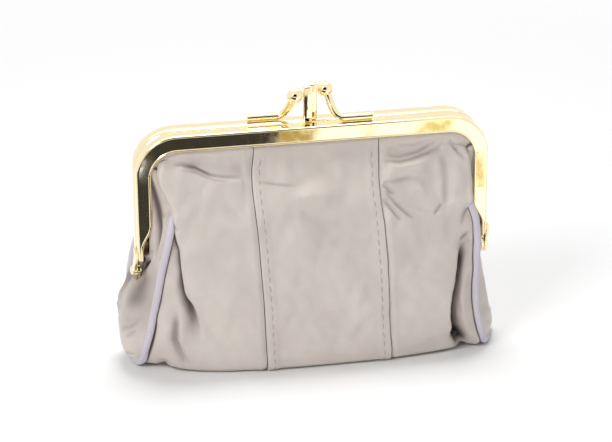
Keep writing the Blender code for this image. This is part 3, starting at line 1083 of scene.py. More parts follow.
@dataclass(frozen=True)
class BagSizes:
    """Sizes of the leather bag and of the frame that holds it, in mm."""

    frame_width: float = 130.0
    frame_top: float = 89.0
    corner_radius: float = 15.0
    hinge_height: float = 36.0
    leg_end: float = 42.0
    skin_depth: float = 5.45
    mouth_inset: float = 7.05
    groove_inset: float = 3.4
    gusset_inset: float = 4.2
    seam_entry: float = 72.0
    gusset_entry: float = 88.0
    hold_short: float = 3.0
    leather: float = 0.9
    lining: float = 0.4
    ply_gap: float = 0.5
    piping_radius: float = 1.4
    piping_bite: float = 1.12
    bulge_power: float = 2.6
    mouth_power: float = 26.0
    mouth_reach: float = 15.0
    rows: int = 270
    column: float = 0.4
    slack: float = 0.2
    # how far the leather stops from its side seam in the groove, where it is sewn flat
    flat_bite: float = 0.12
    # rows between which the seam opens out to its full bite
    bite_rows: tuple = (3, 14)
    # the lining: how much further than the leather it stops from its seam, how much deeper it lies
    # there, and the highest fold of the leather that it follows
    lining_short: float = 0.4
    lining_dip: float = 0.5
    lining_fold: float = 0.3
    # folds start this far over the groove's mouth and are full this far under it
    fold_start: float = 0.2
    fold_full: float = 5.0
    # a share of 1 across is about this many mm
    share_mm: float = 60.0
    # a line of painted shade beside the piping: how much painted shade it gets, and between which distances
    # it fades
    rim_crease: float = 1.5
    rim_near: float = 0.25
    rim_far: float = 0.75
    # heights between which the base turns up, and how flat it is to the right of the middle
    base_low: float = 3.0
    base_high: float = 18.0
    base_right: float = 0.6
    # steps that a gusset's folds count from its seam to its end
    gusset_span: float = 20.0
    floor_gap: float = 0.02

    @property
    def mouth(self) -> float:
        """Height of the groove's mouth over the middle of a panel."""
        return self.frame_top - self.mouth_inset

    @property
    def insets(self) -> tuple[float, float, float]:
        """Insets of the skin's first three rows from the frame's edge, the last at the groove's mouth."""
        return (self.groove_inset, (self.groove_inset + self.mouth_inset) / 2, self.mouth_inset)

    def bite(self, rows: np.ndarray) -> np.ndarray:
        """How far the leather stops from the middle of its side seam in these rows."""
        return self.flat_bite + (self.piping_bite - self.flat_bite) * ease(*self.bite_rows, rows)

    def corner(self, degrees: float, inset: float) -> tuple[float, float, float]:
        """A place in the frame's right corner, on the front skin.

        Args:
            degrees: its angle from straight up.
            inset: how far inside the frame's edge it lies.

        Returns:
            Its x, y and z.
        """
        turn = math.radians(degrees)
        reach = self.corner_radius - inset
        centre = self.frame_width / 2 - self.corner_radius
        up = self.frame_top - self.corner_radius + reach * math.cos(turn)
        return (centre + reach * math.sin(turn), -self.skin_depth, up)


SIZES = BagSizes()

# The middle of the front, from the mouth of the groove to the seam under the base: depth and height
FRONT_MIDDLE = (
    (-5.45, 81.95), (-6.9, 77.4), (-9.7, 72.6), (-13.9, 64.2), (-18.2, 51.0), (-21.4, 37.0),
    (-22.5, 21.5), (-22.4, 9.0), (-22.0, 4.4), (-20.9, 1.3), (-18.4, 0.15), (-13.0, 0.12),
    (-5.45, 0.12), (-0.2, 0.12),
)
REAR_MIDDLE = FRONT_MIDDLE
# Side seams of the front half, left and right, under the frame's mouth
FRONT_LEFT_SEAM = (
    (-53.8, -6.0, 71.6), (-51.8, -7.2, 66.4), (-51.6, -9.4, 62.0), (-53.2, -11.9, 59.3),
    (-53.9, -13.7, 56.1), (-55.5, -15.2, 50.3), (-57.4, -15.2, 42.5), (-58.9, -14.3, 34.3),
    (-60.7, -13.1, 24.7), (-62.2, -11.7, 16.1), (-63.9, -10.2, 8.6), (-64.8, -8.3, 3.8),
    (-65.9, -5.8, 1.95), (-67.0, -2.8, 1.95), (-67.3, 0.0, 1.95),
)
FRONT_RIGHT_SEAM = (
    (55.4, -6.4, 71.0), (54.0, -7.8, 65.0), (54.6, -9.8, 60.4), (56.6, -11.6, 57.2),
    (58.0, -13.1, 53.8), (58.9, -15.0, 45.5), (58.5, -16.1, 36.0), (58.2, -16.8, 27.0),
    (58.3, -16.9, 20.0), (58.8, -16.8, 15.2), (60.0, -16.7, 10.4), (61.2, -16.0, 6.0),
    (63.0, -13.6, 2.2), (64.8, -9.8, 1.95), (66.1, -5.0, 1.95), (66.4, 0.0, 1.95),
)
# Side seams of the rear half, as that half's own front view mirrored in depth
REAR_LEFT_SEAM = (
    (-57.2, -8.4, 69.5), (-57.8, -11.2, 61.0), (-60.6, -12.4, 51.0), (-62.9, -12.6, 43.0),
    (-65.0, -12.6, 35.0), (-66.2, -12.2, 25.0), (-66.7, -10.8, 14.0), (-66.9, -8.6, 5.2),
    (-67.1, -5.4, 1.95), (-67.3, 0.0, 1.95),
)
REAR_RIGHT_SEAM = (
    (57.2, -8.4, 69.5), (56.6, -11.4, 62.0), (57.6, -14.2, 52.0), (59.0, -15.4, 42.0),
    (60.1, -15.2, 30.0), (61.8, -13.4, 14.0), (63.8, -10.6, 4.6), (65.6, -6.0, 1.95), (66.4, 0.0, 1.95),
)


@dataclass(frozen=True)
class Lobe:
    """Slack skin that hangs out sideways over its seam: how far out at each height. Sizes are in mm."""

    outs: tuple
    ahead: float = 2.2
    behind: float = 1.0
    start: float = 0.80
    edge: float = 0.974
    turn: float = 0.56

    def out(self, up: np.ndarray) -> np.ndarray:
        """How far it hangs out at these heights."""
        run = spline(sorted(self.outs), 60)
        return np.interp(up, run[:, 0], run[:, 1], left=0, right=0)

    def tucked(self, share: np.ndarray, up: np.ndarray) -> np.ndarray:
        """How much of each point belongs to the hidden part that goes back to the seam.

        Args:
            share: each point's way across, from 0 in the middle to 1 at the seam.
            up: each point's height.

        Returns:
            Shares from 0 to 1.
        """
        t = np.clip((share - self.start) / (self.edge - self.start), 0, 1)
        return ease(self.turn - 0.14, self.turn + 0.04, t) * ease(0, 1.2, self.out(up))

    def shift(self, share: np.ndarray, up: np.ndarray, side: int, seam: np.ndarray) -> np.ndarray:
        """How far each point moves.

        Args:
            share: each point's way across, from 0 in the middle to 1 at the seam.
            up: each point's height.
            side: -1 for the left and 1 for the right.
            seam: how far out the seam lies in each row.

        Returns:
            An array with a third axis for x, y and z.
        """
        out = self.out(up)
        t = np.clip((share - self.start) / (self.edge - self.start), 0, 1)
        loop = ease(0, self.turn, t) - ease(self.turn, 1, t)
        missing = seam * (self.edge - self.start) * (1 - self.turn)
        moved = np.zeros((*share.shape, 3))
        moved[..., 0] = side * (ease(0, 1.5, out) * missing + out) * loop
        rise = ease(0, self.turn * 0.8, t) - ease(self.turn * 0.86, self.turn * 1.2, t)
        fall = ease(self.turn * 0.84, self.turn * 1.18, t) - ease(0.84, 1, t)
        moved[..., 1] = self.behind * ease(0, 1.5, out) * fall - self.ahead * ease(0, 3.6, out) * rise
        return moved


@dataclass(frozen=True)
class Seam:
    """A lapped seam between two panels: the middle panel's folded edge lies on the outer panel's."""

    line: tuple
    welt: float = 0.42
    sink: float = 0.36
    stitch_in: float = 2.7
    stitch_sink: float = 0.22
    gap: float = 0.14
    round_off: float = 0.55
    # the outer panel: how wide its sunk edge is, and the low ridge beyond it
    sink_width: float = 1.5
    ridge: float = 0.16
    ridge_in: float = 2.0
    ridge_width: float = 0.9
    # the middle panel: over how many mm its welt fades, and the groove that its stitches pull in
    welt_fade: float = 2.6
    groove_width: float = 0.55
    groove_least: float = 0.45

    def across(self, up: np.ndarray) -> np.ndarray:
        """Where the seam lies across the purse at these heights."""
        run = spline(sorted(self.line, key=lambda spot: spot[1]), 60)
        return np.interp(up, run[:, 1], run[:, 0])


class Skin:
    """The outer surface of one half: rows down from the groove, with shares across between its seams."""

    # how much thinner the front's slack presses the piping, and between which heights
    presses = ((0.35, 58.0, 68.0), (0.25, 68.0, 74.0))

    def __init__(
        self, half: Half, middle: tuple, left: tuple, right: tuple, folds: tuple, lobes: dict, seams: tuple
    ):
        """Keeps the half's lines.

        Args:
            half: which half it is.
            middle: depth and height down the middle, for a half that faces -Y.
            left: the left side seam under the frame's mouth, seen from the front.
            right: the right side seam.
            folds: ridges and valleys in front view.
            lobes: slack over the side seams, by side.
            seams: the left and the right seam between the panels.
        """
        self.half = half
        self.folds = folds
        self.lobes = lobes
        self.seams = seams
        count = SIZES.rows
        self.middle = self.row_line([(0.0, *spot) for spot in middle], 0.0, count)
        self.side = {
            Side.LEFT: self.row_line(left, -1.0, count),
            Side.RIGHT: self.row_line(right, 1.0, count),
        }

    @staticmethod
    def row_line(points: list | tuple, side: float, count: int) -> np.ndarray:
        """One line down the skin, from its tucked end in the groove.

        Args:
            points: the places under the frame's mouth.
            side: -1, 0 or 1 for the left seam, the middle or the right seam.
            count: how many rows follow the two in the groove.

        Returns:
            count + 3 points.
        """
        if side:
            held = [SIZES.corner(SIZES.seam_entry, inset) for inset in SIZES.insets]
            held = [(side * x, y, z) for x, y, z in held]
            points = [held[2], *points]
        else:
            held = [(0.0, -SIZES.skin_depth, SIZES.frame_top - inset) for inset in SIZES.insets[:2]]
        return np.concatenate([np.array(held[:2]), spline(points, count)])

    def surface(self, shares: np.ndarray, slack: bool = True) -> np.ndarray:
        """The skin before its folds, facing -Y, in mm.

        Args:
            shares: for each row, the places across, from -1 at the left seam to 1 at the right one.
            slack: whether the slack over the side seams is there.

        Returns:
            Rows by columns by 3.
        """
        far = np.abs(shares)
        left, right = (self.side[side][:, None, :] for side in Side)
        seam = np.where(shares[..., None] < 0, left, right)
        middle = self.middle[:, None, :]
        drop = lengths_along(self.middle)
        near = 1 - ease(SIZES.mouth_inset - SIZES.groove_inset, SIZES.mouth_reach, drop)
        power = SIZES.bulge_power * (SIZES.mouth_power / SIZES.bulge_power) ** near
        bend = (far ** power[:, None])[..., None]
        grid = middle + (seam - middle) * bend
        grid[..., 0] = seam[..., 0] * far
        # the base stays flat on the floor almost out to the seams
        low = 1 - ease(SIZES.base_low, SIZES.base_high, middle[..., 2])
        full = (1 - far**7) * low * np.where(shares < 0, 1.0, SIZES.base_right)
        grid[..., 2] += (middle[..., 2] - grid[..., 2]) * full
        for side, lobe in self.lobes.items() if slack else ():
            here = np.where(shares * side.value > 0, far, 0)
            grid += lobe.shift(here, grid[..., 2], side.value, np.abs(seam[..., 0]))
        return grid

    def pressed(self, up: np.ndarray) -> np.ndarray:
        """How much is left of the piping's thickness at these heights, under the slack if there is any."""
        left = np.ones(up.shape)
        for share, low, high in self.presses if self.lobes else ():
            left -= share * ease(low, high, up)
        return left

    def trim(self, side: Side) -> np.ndarray:
        """How far the leather stops from the middle of this side's seam, in mm, for each row."""
        return SIZES.bite(np.arange(len(self.middle))) * self.pressed(self.side[side][:, 2])

    def edge(self, side: Side, further: float = 0.0) -> np.ndarray:
        """The share across at which a sheet stops beside a side seam, in each row.

        Args:
            side: which seam.
            further: how much further from it than the leather the sheet stops, in mm.

        Returns:
            One share for each row.
        """
        return side.value - (self.trim(side) + further) / self.side[side][:, 0]

    def shown(self, shares: np.ndarray, grid: np.ndarray) -> np.ndarray:
        """How much each point shows.

        Args:
            shares: the points' shares across.
            grid: the points.

        Returns:
            Shares from 0 in the hidden part of a lobe to 1.
        """
        found = np.ones(shares.shape)
        for side, lobe in self.lobes.items():
            here = np.where(shares * side.value > 0, np.abs(shares), 0)
            found -= lobe.tucked(here, grid[..., 2])
        return found

    def share_at(self, across: np.ndarray) -> np.ndarray:
        """The share across of one place in each row, given in mm."""
        left, right = (self.side[side][:, 0] for side in Side)
        return np.where(across < 0, -across / left, across / right)

    def relief(self, grid: np.ndarray) -> tuple[np.ndarray, np.ndarray, np.ndarray]:
        """How high each point stands, how crumpled and painted with shade it is, and how far it leans over.
        """
        across, up = grid[..., 0], grid[..., 2]
        height, crease, lean = all_folds(self.folds, across, up)
        return height + slack_waves(across, up), crease, lean

    def turned(self, grid: np.ndarray) -> np.ndarray:
        """The grid, turned to face this half's way."""
        made = grid.copy()
        made[..., 1] *= -self.half.value
        made[..., 2] = np.maximum(made[..., 2], SIZES.floor_gap)
        return made


@dataclass(frozen=True)
class StitchSizes:
    """A lockstitch in three-ply thread, in mm."""

    pitch: float = 3.6
    hole: float = 1.1
    radius: float = 0.17
    proud: float = 0.15
    slant: float = 0.10
    start: float = 3.0
    stop: float = 9.0
    flat: float = 0.8
    ahead: float = 0.5


STITCH = StitchSizes()


class PanelSet:
    """The three leather panels of one half, with the stitches along their seams."""

    # distances in mm from a panel's edge to its first columns, by a lapped seam and by a side seam
    by_lap = np.array([0, 0.07, 0.16, 0.28, 0.42, 0.6, 0.85, 1.2, 1.6])
    by_side = np.arange(0, 11.0, 0.22)
    # columns in which the line of stitches is looked for
    stitch_columns = 30

    def __init__(self, skin: Skin, word: str):
        """Keeps the skin that the panels lie in, and the half's word in node names."""
        self.skin = skin
        self.word = word
        self.stitch_lines = {}

    def edge_shares(self, seam: Seam) -> np.ndarray:
        """The share across of a panel seam in each row."""
        return self.skin.share_at(seam.across(self.skin.middle[:, 2]))

    def columns(
        self, first: np.ndarray, last: np.ndarray, seamed: tuple[bool, bool], step: float
    ) -> np.ndarray:
        """Shares across one panel, closer together by its seams.

        Args:
            first: the left edge's share in each row.
            last: the right edge's share in each row.
            seamed: whether its left and right edges are panel seams.
            step: the usual distance between columns in mm.

        Returns:
            Rows by columns.
        """
        width = float(np.abs(last - first).mean()) * SIZES.share_mm
        near = [self.by_lap if lap else self.by_side for lap in seamed]
        inner = np.arange(near[0][-1] + step, width - near[1][-1] - step / 2, step)
        ways = np.concatenate([near[0], inner, width - near[1][::-1]]) / width
        return first[:, None] + (last - first)[:, None] * ways[None, :]

    def seam_profile(self, grid: np.ndarray, seam: Seam, inside: bool, column: int) -> np.ndarray:
        """How a panel's surface rises or sinks by one of its seams.

        Args:
            grid: the panel's points.
            seam: the seam.
            inside: True for the middle panel, which lies on top.
            column: the panel's column at the seam, 0 or -1.

        Returns:
            Heights in mm.
        """
        edge = grid[:, column : column + 1 if column == 0 else None]
        far = np.linalg.norm(grid - edge, axis=2)
        if not inside:
            ridge = seam.ridge * np.exp(-(((far - seam.ridge_in) / seam.ridge_width) ** 2))
            return ridge - seam.sink * (1 - ease(0.0, seam.sink_width, far))
        high = seam.welt * (1 - ease(seam.stitch_in, seam.stitch_in + seam.welt_fade, far))
        reach = np.clip(seam.round_off - far, 0, seam.round_off)
        drop = seam.round_off - np.sqrt(np.maximum(seam.round_off**2 - reach**2, 0))
        along = lengths_along(grid[:, column])
        pull = 0.5 + 0.5 * np.cos(along / STITCH.pitch * 2 * math.pi)[:, None]
        least = seam.groove_least
        groove = np.exp(-(((far - seam.stitch_in) / seam.groove_width) ** 2))
        return high - drop - seam.stitch_sink * (least + (1 - least) * pull) * groove

    def panel(self, place: str, finish: Material) -> Object:
        """One panel.

        Args:
            place: left, centre or right.
            finish: its leather.

        Returns:
            The piece.
        """
        skin = self.skin
        left_seam, right_seam = skin.seams
        at_left, at_right = self.edge_shares(left_seam), self.edge_shares(right_seam)
        gap = left_seam.gap / SIZES.share_mm
        spans = {
            "left": (skin.edge(Side.LEFT), at_left - gap, (False, True)),
            "centre": (at_left + gap, at_right - gap, (True, True)),
            "right": (at_right + gap, skin.edge(Side.RIGHT), (True, False)),
        }
        first, last, seamed = spans[place]
        shares = self.columns(first, last, seamed, SIZES.column)
        grid = skin.surface(shares)
        normal = normals_of(grid, (0, -1, 0))
        height, crease, lean = skin.relief(grid)
        shown = skin.shown(shares, grid)
        height, crease, lean = height * shown, crease * shown, lean * shown[..., None]
        joined = {
            "left": ((left_seam, -1),),
            "centre": ((left_seam, 0), (right_seam, -1)),
            "right": ((right_seam, 0),),
        }
        for seam, column in joined[place]:
            height += self.seam_profile(grid, seam, place == "centre", column)
        # a line of painted shade along the panel's edge beside the piping
        if place != "centre":
            outer = first if place == "left" else last
            rim = np.abs(shares - outer[:, None]) * SIZES.share_mm
            crease = crease + SIZES.rim_crease * (1 - ease(SIZES.rim_near, SIZES.rim_far, rim))
        held = ease(SIZES.mouth + SIZES.fold_start, SIZES.mouth - SIZES.fold_full, grid[..., 2])
        grid = grid + normal * (height * held)[..., None] + lean * held[..., None]
        grid = skin.turned(grid)
        if place == "centre":
            self.keep_stitch_line(0, grid, left_seam)
            self.keep_stitch_line(1, grid[:, ::-1], right_seam)
        outward = (0, skin.half.value, 0)
        name = f"{self.word}_panel_{place}_skin"
        piece = laid_sheet(name, grid, SIZES.leather, outward, crease * held)
        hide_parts(f"{self.word}_panel_{place}")
        dress(piece, finish)
        return piece

    def keep_stitch_line(self, index: int, grid: np.ndarray, seam: Seam) -> None:
        """Finds where the stitches lie on the finished surface.

        Args:
            index: 0 for the left seam and 1 for the right.
            grid: the middle panel's points, from that seam inwards.
            seam: the seam.
        """
        near = grid[:, : self.stitch_columns]
        normal = normals_of(grid, (0, self.skin.half.value, 0))[:, : self.stitch_columns]
        far = np.linalg.norm(near - near[:, :1], axis=2)
        rows = range(2, len(near))
        line = [points_at(seam.stitch_in, far[row], near[row]) for row in rows]
        facing = [points_at(seam.stitch_in, far[row], normal[row]) for row in rows]
        self.stitch_lines[index] = (np.array(line), np.array(facing))

    def stitches(self, seam_index: int, finish: Material) -> Object:
        """The row of stitches along one panel seam.

        Args:
            seam_index: 0 for the left seam and 1 for the right.
            finish: the thread's material.

        Returns:
            The piece.
        """
        line, normal = self.stitch_lines[seam_index]
        along = lengths_along(line)
        count = int((along[-1] - STITCH.start - STITCH.stop) / STITCH.pitch)
        deselect()
        bpy.ops.mesh.primitive_uv_sphere_add(segments=8, ring_count=6, radius=1)
        model = bpy.context.object
        copies = [model]
        for k in range(1, count):
            copies.append(model.copy())
            copies[-1].data = model.data.copy()
            bpy.context.scene.collection.objects.link(copies[-1])
        for k, copy in enumerate(copies):
            middle = STITCH.pitch * (k + math.ceil(STITCH.start / STITCH.pitch) + 0.5)
            place = Vector(points_at(middle, along, line))
            up = Vector(points_at(middle, along, normal)).normalized()
            way = (Vector(points_at(middle + STITCH.ahead, along, line)) - place).normalized()
            side = up.cross(way).normalized()
            way = (way + side * STITCH.slant * (1 if k % 2 else -1)).normalized()
            side = up.cross(way).normalized()
            centre = place + up * (STITCH.radius * STITCH.proud)
            # under the base a stitch lies in its groove, clear of the floor
            centre.z = max(centre.z, STITCH.radius)
            half = (STITCH.pitch - STITCH.hole) / 2
            wide, high = STITCH.radius, STITCH.radius * STITCH.flat
            turn = Matrix([(way[i] * half, side[i] * wide, up[i] * high) for i in range(3)])
            matrix = turn.to_4x4()
            matrix.translation = centre
            copy.data.transform(Matrix.Scale(MM, 4) @ matrix)
        deselect()
        for copy in copies:
            copy.select_set(True)
        bpy.context.view_layer.objects.active = model
        bpy.ops.object.join()
        word = ("left", "right")[seam_index]
        model.name = model.data.name = f"{self.word}_{word}_topstitching"
        settle(model)
        dress(model, finish)
        return model


class Gusset:
    """One half of the bag's soft side: from its piped seam to the leg, or to y = 0 under the hinge."""

    # points across before they are evened out, and the share of the rows that the lining covers
    fine_points = 60
    lined_rows = 0.9
    # it passes the rivet this far inside the frame's edge
    rivet_in = 3.5

    def __init__(self, skin: Skin, side: Side, widest: float, lobe: float, shares: tuple, folds: tuple):
        """Keeps the gusset's sizes.

        Args:
            skin: the half that it is sewn to.
            side: which end of the purse.
            widest: how far out it swells under the hinge, in mm.
            lobe: how far its middle swells beyond a plain curve, in mm.
            shares: its outline under the hinge: shares of that swell and of the hinge's height.
            folds: ridges and valleys, in twentieths of the way from the seam and mm up.
        """
        self.skin = skin
        self.side = side
        self.widest = widest
        self.lobe = lobe
        self.shares = shares
        self.folds = folds

    def held(self, share: float) -> tuple[float, float, float]:
        """A place in the frame's groove.

        Args:
            share: its way from the gusset's entry on the corner down to the leg's end, from 0 to 1.

        Returns:
            Its x, y and z at the right end.
        """
        entry = math.radians(SIZES.gusset_entry)
        arc = SIZES.corner_radius * (math.pi / 2 - entry)
        leg = SIZES.frame_top - SIZES.corner_radius - SIZES.leg_end - SIZES.hold_short
        along = share * (arc + leg)
        if along < arc:
            return SIZES.corner(math.degrees(entry + along / SIZES.corner_radius), SIZES.gusset_inset)
        up = SIZES.frame_top - SIZES.corner_radius - (along - arc)
        return (SIZES.frame_width / 2 - SIZES.gusset_inset, -SIZES.skin_depth, up)

    def end_line(self, seam: np.ndarray) -> np.ndarray:
        """The gusset's far edge, one point for each row of its seam, at the right end."""
        held_rows = int((seam[:, 2] > SIZES.leg_end).sum())
        held = [self.held(k / (held_rows - 1)) for k in range(held_rows)]
        hinge = SIZES.frame_width / 2 - self.rivet_in
        swell = self.widest - hinge
        free = [held[-1], (hinge - 0.3, -2.0, 43.0), (hinge, 0.0, 40.0)]
        free += [(hinge + swell * out, 0.0, SIZES.hinge_height * high) for out, high in self.shares]
        free.append((abs(seam[-1, 0]) + 1.2, 0.0, 1.0))
        lower = spline(free, len(seam) - held_rows)
        return np.concatenate([np.array(held), lower[1:]])

    def grid(self, columns: int, skip: float) -> np.ndarray:
        """The gusset's points before it is turned to its half, in mm.

        Args:
            columns: points from its seam to its end.
            skip: how much further from the middle of the piping it starts than the leather.

        Returns:
            Rows by columns by 3, at the right end.
        """
        seam = self.skin.side[self.side].copy()
        seam[:, 0] = np.abs(seam[:, 0])
        end = self.end_line(seam)
        seam, far = seam[:, None, :], end[:, None, :]
        q = np.linspace(0, 1, self.fine_points)[None, :]
        turn = q * math.pi / 2
        early, late = np.sin(turn), 1 - np.cos(turn)
        full = seam + (far - seam) * np.stack([early, late, q], axis=2)
        hollow = seam + (far - seam) * np.stack([late, early, q], axis=2)
        below = 1 - ease(SIZES.hinge_height - 4, SIZES.leg_end + 2, seam[..., 2])
        high = 1 - ease(SIZES.leg_end, SIZES.frame_top, seam[..., 2])
        swell = 0.3 * high * (1 - below) + below
        made = hollow + (full - hollow) * swell[..., None]
        bulge = self.lobe * swell * np.sin(math.pi * q) ** 2
        made[..., 0] += bulge * ease(0, SIZES.hinge_height, made[..., 2])
        rows = []
        clear = self.skin.trim(self.side) + (SIZES.lining_short if skip else 0.0)
        for line, start in zip(made, clear):
            along = lengths_along(line)
            wanted = np.linspace(min(start, along[-1] * 0.5), along[-1], columns)
            rows.append(points_at(wanted, along, line))
        return np.array(rows)

    def piece(
        self, name: str, node: str, skip: float, wall: float, columns: int, finish: Material, slot: str
    ) -> Object:
        """Makes the gusset half.

        Args:
            name: the piece's name.
            node: the CAD node that it stands for.
            skip: how far under the outer surface it lies, in mm.
            wall: its thickness in mm.
            columns: points across it.
            finish: its material.
            slot: a material slot's name; not used.

        Returns:
            The piece.
        """
        grid = self.grid(columns, skip)
        if skip:
            grid = grid[: int(len(grid) * self.lined_rows)]
        outward = (1, -0.2, 0)
        normal = normals_of(grid, outward)
        span = SIZES.gusset_span
        across = np.linspace(0, span, columns)[None, :] * np.ones((len(grid), 1))
        up = grid[..., 2]
        height, crease, _ = all_folds(self.folds, across, up)
        # the waves are others than the panels', and half as high
        height += slack_waves(across * 0.8 + 31, up) * 0.5
        free_edge = 1 - ease(span - 2.5, span, across) * ease(SIZES.hinge_height + 2, SIZES.leg_end, up)
        height *= free_edge * ease(0, 2.0, across)
        if skip:
            skip = skip + SIZES.lining_dip * np.exp(-((across / 6) ** 2))
            height = np.minimum(height, SIZES.lining_fold)
        grid = grid + normal * (height - skip)[..., None]
        below = grid[..., 2] < SIZES.hinge_height + 3
        grid[..., 1] = np.where(below & (across > span - 0.01), 0.0, grid[..., 1])
        grid[..., 1] = np.minimum(grid[..., 1], 0.0)
        grid[..., 0] *= self.side.value
        grid = self.skin.turned(grid)
        piece = laid_sheet(name, grid, wall, (self.side.value, 0, 0), crease)
        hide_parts(node)
        dress(piece, finish)
        return piece


class Piping:
    """The leather-covered cord in the seam of one gusset, front or rear half."""

    # rows above its start, the heights between which it comes out and goes in again, its way out
    # across and in depth, its points and its faces round
    first_row = 8
    comes_out = (2.0, 9.0)
    goes_in = (57.0, 64.0)
    way_out = (0.55, -0.83)
    points = 170
    faces = 20
    floor_gap = 0.08

    def __init__(self, skin: Skin, side: Side, proud: float = 0.35):
        """Keeps the seam that it follows, and how far it stands out of it in mm."""
        self.skin = skin
        self.side = side
        self.proud = proud

    def piece(self, name: str, node: str, finish: Material) -> Object:
        """Makes the piping.

        Args:
            name: the piece's name.
            node: the CAD node that it stands for.
            finish: its leather.

        Returns:
            The piece.
        """
        line = self.skin.side[self.side][self.first_row :].copy()
        strength = ease(*self.comes_out, line[:, 2]) * ease(*reversed(self.goes_in), line[:, 2])
        out = np.array([self.way_out[0] * self.side.value, self.way_out[1], 0.0])
        line += out * (self.proud * strength)[:, None]
        line[:, 2] = np.maximum(line[:, 2], SIZES.piping_radius + self.floor_gap)
        line = resample(line, self.points)
        line[:, 1] *= -self.skin.half.value
        squeeze = self.skin.pressed(line[:, 2])
        piece = swept_tube(name, line, SIZES.piping_radius, self.faces, squeeze)
        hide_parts(node)
        dress(piece, finish)
        return piece


class Lining:
    """The loose cloth inside one half."""

    columns = 100
    # columns are about this many mm apart
    column_mm = 1.2
    # how far its dip by the seams reaches, and how far it stops from the other half's lining
    dip_reach = 2.5
    half_gap = 0.15

    def __init__(self, skin: Skin, word: str):
        """Keeps the skin that it follows, and the half's word in node names."""
        self.skin = skin
        self.word = word

    def piece(self, finish: Material) -> Object:
        """Makes the lining panel."""
        skin = self.skin
        count = len(skin.middle)
        left, right = (skin.edge(side, SIZES.lining_short)[:, None] for side in Side)
        ways = np.linspace(0, 1, self.columns)[None, :]
        grid = skin.surface(left + (right - left) * ways, slack=False)
        normal = normals_of(grid, (0, -1, 0))
        height, _, _ = skin.relief(grid)
        skip = SIZES.leather + SIZES.ply_gap
        # its edges lie deeper, out of the way of the seams
        order = np.arange(self.columns)
        near = np.minimum(order, order[::-1])[None, :] * self.column_mm
        dip = SIZES.lining_dip * np.exp(-((near / self.dip_reach) ** 2))
        deeper = skip + dip * ease(*SIZES.bite_rows, np.arange(count))[:, None]
        grid = grid + normal * (np.minimum(height, SIZES.lining_fold) - deeper)[..., None]
        grid[..., 2] = np.maximum(grid[..., 2], skip)
        grid[..., 1] = np.minimum(grid[..., 1], -self.half_gap)
        grid = skin.turned(grid)[::2]
        piece = laid_sheet(f"lining_{self.word}_cloth", grid, SIZES.lining, (0, skin.half.value, 0))
        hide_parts(f"lining_{self.word}")
        dress(piece, finish)
        return piece
